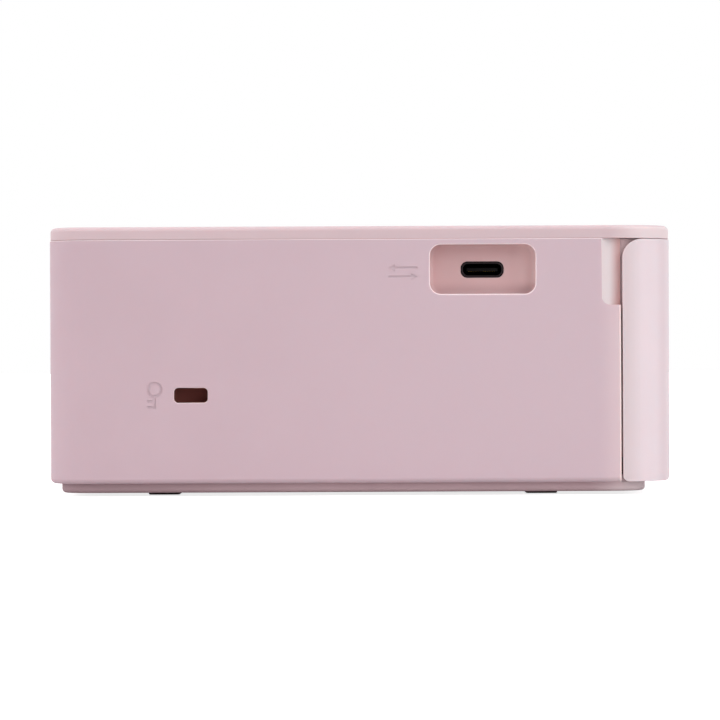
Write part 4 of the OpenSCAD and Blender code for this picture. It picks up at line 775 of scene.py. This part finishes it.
# %% Display
skin("display_bezel", lid_painted_light_abs, 0.25, 3, rules=[(lambda p: p.z < 55, 0.1, 1)])
skin("display_back", frame_painted_light_abs, 0.2)
skin("display_tray", frame_painted_light_abs)
skin("display_glass", screen_glass, 0.12)
skin("lcd_panel", lcd_cells, 0.1)
skin("display_flex", flex_film, 0.03)
print("display made")

# %% [markdown]
# ## Keys
# The round keys are dished for a fingertip, the pad is a ring cut in four, and the two pale keys are used most. Key
# edges are kept tight, at about 0.2 mm, so that the gaps between them stay crisp.

# %% Keys
for key in ("power_key", "back_key", "menu_key", "up_key", "down_key", "left_key", "right_key"):
    skin(key, key_abs, 0.18, 3)
skin("ok_key", key_pale_abs, 0.3, 4)
skin("print_key", key_pale_abs, 0.35, 4)
print("keys made")

# %% [markdown]
# ## Signs on the keys
# The signs are pad printed: a soft pad presses a film of ink on the dished key. They could be a picture on the
# surface, but a picture blurs up close. So each is a thin ribbon of faces that follows the dish, a few hundredths
# of a millimetre above it. They are everyday signs: power, return, three menu lines, four triangles, a ring, and a
# frame with a hill.


# %% Height of a dished key
KEY_TOP = 57.5
DISH, DISH_CENTRE = 11.8, 11.4  # radius of the dish, and how far over the key its centre lies


def key_height(x, y, centre):
    """Height of a round key's dished top."""
    return KEY_TOP + DISH_CENTRE - math.sqrt(DISH ** 2 - (x - centre[0]) ** 2 - (y - centre[1]) ** 2)


print("dish is", round(KEY_TOP - key_height(0, 0, (0, 0)), 2), "mm deep")


# %% Print on a key
INK = 0.03


def printed(body, shapes, centre, dished=False):
    """Ink on a key. Each shape is a list of corners, counted from the key's centre."""
    bm = bmesh.new()
    for face in shapes:
        verts = []
        for x, y in face:
            px, py = centre[0] + x, centre[1] + y
            z = (key_height(px, py, centre) if dished else KEY_TOP) + INK
            verts.append(bm.verts.new((px * MM, py * MM, z * MM)))
        bm.faces.new(verts)
    bmesh.ops.remove_doubles(bm, verts=bm.verts, dist=1e-6)
    bmesh.ops.recalc_face_normals(bm, faces=bm.faces)
    for f in bm.faces:
        if f.normal.z < 0:
            f.normal_flip()
    ink = finished(bm, body + "_sign", legend_ink, body).modifiers.new("ink", "SOLIDIFY")
    ink.thickness, ink.offset = INK * MM, -1


print("ink is", INK, "mm thick")


# %% Strokes
def stroke(points, width=0.42, step=0.25):
    """Quads along a line of points."""
    dense = []
    for (ax, ay), (bx, by) in zip(points, points[1:]):
        n = max(1, round(math.hypot(bx - ax, by - ay) / step))
        dense += [(ax + (bx - ax) * i / n, ay + (by - ay) * i / n) for i in range(n)]
    dense.append(points[-1])
    left, right = [], []
    for i, (x, y) in enumerate(dense):
        ax, ay = dense[max(0, i - 1)]
        bx, by = dense[min(len(dense) - 1, i + 1)]
        d = math.hypot(bx - ax, by - ay) or 1
        nx, ny = -(by - ay) / d * width / 2, (bx - ax) / d * width / 2
        left.append((x + nx, y + ny))
        right.append((x - nx, y - ny))
    return [[left[i], right[i], right[i + 1], left[i + 1]] for i in range(len(dense) - 1)]


def arc(r, a0, a1, cx=0.0, n=24):
    """Points on an arc, by angle in degrees."""
    angles = [math.radians(a0 + (a1 - a0) * i / n) for i in range(n + 1)]
    return [(cx + r * math.cos(a), r * math.sin(a)) for a in angles]


print("a ring takes", len(stroke(arc(1.5, 0, 360))), "quads")

# %% Signs of the round keys
top_y, pad_y, print_y, middle_x = 22.5, -6.0, -33.5, 65
printed("power", stroke(arc(1.55, 125, 415)) + stroke([(0, 0.3), (0, 2.1)]), (77.5, top_y), True)
printed("menu", sum([stroke([(-1.6, y), (1.6, y)]) for y in (-1.15, 0, 1.15)], []), (middle_x, top_y), True)
printed("back", stroke([(-0.6, 1.1), (0.5, 1.1)] + arc(1.1, 90, -90, 0.5, 16)[1:] + [(-1.5, -1.1)])
        + [[(-0.5, 2.1), (-1.9, 1.1), (-0.5, 0.1)]], (52.5, top_y), True)
print("signs of the round keys made")

# %% Signs of the pad and the print key
for body, angle in (("right", 0), ("up", 90), ("left", 180), ("down", 270)):
    c, s = round(math.cos(math.radians(angle))), round(math.sin(math.radians(angle)))
    tri = [(12.6, 1.25), (12.6, -1.25), (14.5, 0)]
    printed(body, [[(x * c - y * s, x * s + y * c) for x, y in tri]], (middle_x, pad_y))
printed("ok", stroke(arc(1.5, 0, 360, n=40), 0.4), (middle_x, pad_y))
rim = [(-2.6, -1.9), (2.6, -1.9), (2.6, 1.9), (-2.6, 1.9), (-2.6, -1.9)]
dot = [(1.2 + 0.42 * math.cos(a / 8 * math.tau), 1.15 + 0.42 * math.sin(a / 8 * math.tau)) for a in range(8)]
printed("print", sum([stroke([a, b], 0.36) for a, b in zip(rim, rim[1:])], [])
        + stroke([(-2.2, -1.2), (-0.7, 0.5), (0.2, -0.4), (1.1, 0.6), (2.2, -1.0)], 0.36) + [dot], (middle_x, print_y))
print("other signs made")

# %% [markdown]
# ## Sockets
# The data socket is a drawn steel shell round a black tongue. Its steel is painted dark and its inside black, as
# painted shade, so that only its thin rim catches light. Its contacts are flat gold strips on both sides of the
# tongue, 0.5 mm apart. They could be a striped material, but strips stand proud of the tongue, so they are made as
# boxes in one mesh.


# %% Socket shell and tongue
def socket_finish(c, n):
    """Steel at the rim, and painted shade in black inside it."""
    inside = math.hypot(c.y - socket_y, (c.z - socket_z) * 2) < 4.2
    return 1 if inside and c.x > -86.44 else 0


skin("usb_shell", socket_steel_shade, 0.1, 3, paint=socket_finish, extra=[tongue_and_shade_black],
     move=moved(SOCKET_SHIFT))
skin("usb_tongue", tongue_and_shade_black, 0.1, move=moved(SOCKET_SHIFT))
skin("sd_socket", zinc_sheet)
pin_x, pin_z, pin_r = 71, 13, 1.0
skin("dc_jack", black_abs, extra=[shaft_steel],
     paint=lambda c, n: 1 if math.hypot(c.x - pin_x, c.z - pin_z) < pin_r and 50 < c.y < 64.2 else 0)
print("sockets made")


# %% Small blocks in one mesh
def blocks(name, cells, mat, body, slot, bevel=0):
    """Many small boxes in one piece: cells are pairs of a low and a high corner."""
    bm = bmesh.new()
    for low, high in cells:
        verts = bmesh.ops.create_cube(bm, size=1)["verts"]
        bmesh.ops.scale(bm, vec=[(h - l) * MM for l, h in zip(low, high)], verts=verts)
        bmesh.ops.translate(bm, vec=[(h + l) / 2 * MM for l, h in zip(low, high)], verts=verts)
    if bevel:
        rounded(bm, bm.edges[:], bevel, 1)
    finished(bm, name, mat, body)


print("blocks ready")

# %% Contacts
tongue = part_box("usb_tongue")
per_side, pitch, half_strip, thick = 12, 0.5, 0.12, 0.04
strips = []
for i in range(per_side):
    y = socket_y + (i - (per_side - 1) / 2) * pitch
    for z in [corner[2] * PER_M + SOCKET_SHIFT[1] - thick / 2 for corner in tongue]:
        strips.append(((-84.6, y - half_strip, z), (-81.8, y + half_strip, z + thick)))
blocks("usb_contacts", strips, pad_gold, "body", "brass")
print(len(strips), "contacts made")

# %% [markdown]
# ## Lock slot
# Behind the slot lies a browned steel plate that takes the pull of a cable lock, and behind that a pocket put there
# as painted shade: without it one would see the motor through the slot. It is a shallow box of five walls, open
# towards the plate, in the slot's painted shade colour.

# %% Lock pocket
skin("lock_plate", lock_steel_light_and_shade, 0.1, move=moved(SLOT_SHIFT))
plate_x = lock[1][0] * PER_M
x0, x1, t = plate_x + 0.05, plate_x + 3.6, 0.5
ya, yb, za, zb = lock_y - 5.2, lock_y + 5.2, lock_z - 3, lock_z + 3
blocks("lock_pocket", [((x1 - t, ya, za), (x1, yb, zb)), ((x0, ya, za), (x1 - t, ya + t, zb)),
                       ((x0, yb - t, za), (x1 - t, yb, zb)), ((x0, ya + t, za), (x1 - t, yb - t, za + t)),
                       ((x0, ya + t, zb - t), (x1 - t, yb - t, zb))], slot_shade_abs, "body", "pink_abs", 0.06)
print("lock pocket made")

# %% [markdown]
# ## Mechanism
# A steel shaft runs through every roller, and only the middle is covered, with rubber or with a pricked skin. A
# face's place along the shaft tells which it is. Gears are acetal mouldings on steel shafts, and their teeth get
# only the thinnest radius, 0.05 mm, or they would look worn.

# %% Frame of the mechanism
for plate in ("left_side_plate", "right_side_plate"):
    skin(plate, zinc_sheet, 0.08, 1)
for name in ("bay_roof", "rear_guide"):
    skin(name, dark_abs, 0.12, 1)
skin("head_carrier", zinc_sheet, 0.08, 1)
ceramic_top, cams = 19.6, ((-61, -55), (37, 43))
skin("head_bar", head_aluminium, paint=lambda c, n: 1 if c.z < ceramic_top else 0, extra=[head_ceramic])
skin("head_cam", acetal, 0.1, paint=lambda c, n: 0 if any(within(c, cam) for cam in cams) else 1,
     extra=[shaft_steel])
skin("release_lever", lever_abs, 0.3, 3)
print("mechanism's frame made")


# %% Rollers
def covered(x0, x1, slack=0.2):
    """A paint rule: the covering between x0 and x1, and the bare shaft outside."""
    return lambda c, n: 0 if x0 - slack <= c.x <= x1 + slack else 1


skin("platen_roller", roller_rubber, 0.25, 3, paint=covered(-58, 40.5), extra=[shaft_steel])
skin("capstan_roller", grit_steel, paint=covered(-57, 39.5), extra=[shaft_steel])
skin("pinch_roller", roller_rubber, 0.2, paint=covered(-57, 39.5), extra=[shaft_steel])
skin("pickup_arm", dark_abs, 0.2)
skin("pickup_roller", roller_rubber, 0.25, 3, paint=covered(-16.8, -3.2), extra=[shaft_steel])
print("rollers made")

# %% Gears, motors and fan
teeth_end, teeth_start = -66.9, -73.7
for gear in ("capstan_gear", "idler_gear", "takeup_gear"):
    skin(gear, acetal, 0.05, 1, paint=lambda c, n: 1 if c.x > teeth_end else 0, extra=[shaft_steel])
skin("reduction_gear", acetal, 0.05, 1, paint=lambda c, n: 0 if teeth_start <= c.x <= teeth_end else 1,
     extra=[shaft_steel])
for pinion in ("feed_pinion", "ribbon_pinion"):
    skin(pinion, pinion_brass, 0.05, 1)
flange_top = 29
skin("feed_motor", can_steel, 0.3, 3, paint=lambda c, n: 1 if c.z < flange_top else 0, extra=[zinc_sheet])
skin("ribbon_motor", can_steel, 0.3, 3)
for name, width in (("fan_frame", 0.15), ("fan_rotor", 0.12)):
    skin(name, black_abs, width)
print("gears and motors made")

# %% [markdown]
# ## Ribbon cassette
# The cassette is an ivory box with two spools and the dye film between them. Each spool is a brown core wound with
# film, so its ends and its middle differ. The web of film is so thin that it keeps sharp edges.

# %% Cassette
skin("cassette_shell", ivory_abs, 0.2)
skin("cassette_grip", ivory_abs, 0.4, 3)
skin("ribbon_web", yellow_film, 0)
skin("supply_spool", yellow_film, 0.1, 1, paint=covered(-58, 41.5), extra=[core_brown])
skin("takeup_spool", used_film, 0.1, 1, paint=covered(-58, 41.5), extra=[core_brown])
print("cassette made")

# %% [markdown]
# ## Circuit boards
# Each board is one solid with its parts, so the parts get their materials by where they stand: faces level with
# the board are its own, with the sawn edge round them, and faces above or below belong to what is soldered there.


# %% Which part of a board
def board_parts(z0, z1, parts):
    """0 board, 1 its edge, 2 and on: the parts, by their ranges along X and Y, and 2 for all others."""
    def rule(c, n):
        if z0 - 0.05 <= c.z <= z1 + 0.05:
            return 0 if abs(n.z) > 0.7 else 1
        for i, (x, y) in enumerate(parts):
            if within(c, x, y):
                return 2 + i
        return 2
    return rule


print("rule ready")

# %% Boards
board_thick = 1.4
for name, width, segments, parts, mats in (
        ("main_board", 0.12, 1, [((-30, 28), None), ((28, 45), None), ((-47, -36), None)],
         [chip_black, connector_white, cap_sleeve]),
        ("power_board", 0.15, 2, [((54, 70), (-50, -33)), ((65.4, 68.2), None), ((60.5, 65.2), (-12.4, 0)),
                                  ((50, 61), None)],
         [inductor_yellow, head_aluminium, connector_white, cap_sleeve])):
    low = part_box(name)[0][2] * PER_M
    skin(name, board_green, width, segments, paint=board_parts(low, low + board_thick, parts),
         extra=[board_edge, *mats])
skin("key_board", board_green, 0.1, 1, paint=board_parts(49.7, 50.9, []),
     extra=[board_edge, screw_steel])
print("boards made")

# %% [markdown]
# ## Camera
# The printer is seen square on to its left side, from 0.85 m away, through a long lens of about 200 mm. A shorter
# lens from closer by would show the same side, but its top and bottom edges would spread. The eye is level with
# the middle of the side, so neither the top nor the underside shows, and the camera leans by a quarter of a degree.

# %% Camera
cam = placed("camera", bpy.data.cameras.new("camera"))
cam.data.sensor_width, cam.data.lens = 36, 199.8
cam.data.clip_end = 20
cam.location = (-0.941, 0.0, 0.02897)
face_right = Matrix.Rotation(math.radians(-90), 4, "Z") @ Matrix.Rotation(math.radians(90), 4, "X")
roll = Matrix.Rotation(math.radians(-0.25), 4, "Z")
cam.rotation_euler = (face_right @ roll).to_euler()
bpy.context.scene.camera = cam
print("camera stands", round(LEFT * MM - cam.location.x, 3), "m from the side")

# %% [markdown]
# ## Light
# A product table has large soft lights all round. Area lamps would have to be huge to light a floor evenly, so each
# is a sun with a wide angle, which is as soft as a big window. The key comes from the front left, so that the door's
# round end is the brightest; the one from the rear lifts the rear corner out of the side; and the one overhead is
# weak, because the top panel's edge must not turn white. A low sun straight behind a flat glass would be mirrored in
# it as a white sheet, so the rear one is left out of reflections.


# %% Soft suns
def sun(name, direction, strength, angle, mirrored=True):
    """A sun that shines along a direction, with an angle in degrees that makes it soft."""
    data = bpy.data.lights.new(name, "SUN")
    data.energy, data.angle = strength, math.radians(angle)
    obj = placed(name, data)
    obj.rotation_euler = Vector(direction).to_track_quat("-Z", "Y").to_euler()
    obj.visible_glossy = mirrored


sun("overhead", (0.05, 0, -1), 1.3, 80)
sun("key", (0.68, 0.6, -0.42), 1.5, 55)
sun("rear", (0.12, -0.95, -0.25), 1.75, 50, mirrored=False)
print(len(bpy.data.lights), "lamps made")

# %% [markdown]
# ## World
# The room is white to the eye and in reflections, but lights the object at only a third of that, so that the lamps
# can model its form. The light path tells the two apart.

# %% World
world = bpy.data.worlds.new("white room")
bpy.context.scene.world = world
world.use_nodes = True
tree = world.node_tree
path = add(tree, "ShaderNodeLightPath")
seen = add(tree, "ShaderNodeMath", {0: path.outputs["Is Camera Ray"], 1: path.outputs["Is Glossy Ray"]},
           operation="MAXIMUM")
seen = add(tree, "ShaderNodeMath", {0: seen.outputs[0], 1: path.outputs["Is Transmission Ray"]}, operation="MAXIMUM")
room_light = 0.34
level = add(tree, "ShaderNodeMapRange", {"Value": seen.outputs[0], "To Min": room_light, "To Max": 1.0})
tree.nodes["Background"].inputs["Color"].default_value = (1, 1, 1, 1)
tree.links.new(level.outputs["Result"], tree.nodes["Background"].inputs["Strength"])
print("the room lights at", room_light)

# %% [markdown]
# ## Floor
# The floor is a sweep of white paper, wide enough that its edge never shows. Lit by lamps that suit the object,
# white paper would come out grey, so to the camera the paper is a little luminous as well. It still takes the
# object's shadow, only paler. To the light that bounces up from it, it is an ordinary pale grey.

# %% Floor
sweep = bpy.data.meshes.new("floor")
half = 8
sweep.from_pydata([(-half, -half, 0), (half, -half, 0), (half, half, 0), (-half, half, 0)], [], [(0, 1, 2, 3)])
floor = placed("floor", sweep)
paper = plain("white_paper_sweep", "#ffffff", 0.9, Emission_Color=(1, 1, 1, 1))
tree = paper.node_tree
bsdf = tree.nodes["Principled BSDF"]
path = add(tree, "ShaderNodeLightPath")
seen = add(tree, "ShaderNodeMath", {0: path.outputs["Is Camera Ray"], 1: path.outputs["Is Glossy Ray"]},
           operation="MAXIMUM")
shade = add(tree, "ShaderNodeMix", {0: seen.outputs[0], 6: srgb("#cfcdcc"), 7: srgb("#ffffff")}, data_type="RGBA")
tree.links.new(shade.outputs[2], bsdf.inputs["Base Color"])
paper_glow = 0.8
glow = add(tree, "ShaderNodeMath", {0: path.outputs["Is Camera Ray"], 1: paper_glow}, operation="MULTIPLY")
tree.links.new(glow.outputs[0], bsdf.inputs["Emission Strength"])
sweep.materials.append(paper)
floor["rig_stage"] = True
bpy.context.scene.view_settings.view_transform = "Standard"
print("floor is", 2 * half, "m wide")

# %% [markdown]
# ## Size
# Both boxes, of the CAD model and of the dressed printer, are gathered and their sizes printed.

# %% Size and end
boxes = {"cad": [list(v) for v in cad_box], "visual": [list(v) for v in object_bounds()]}
for name, (low, high) in boxes.items():
    print(name, [round((b - a) * 1000, 2) for a, b in zip(low, high)])
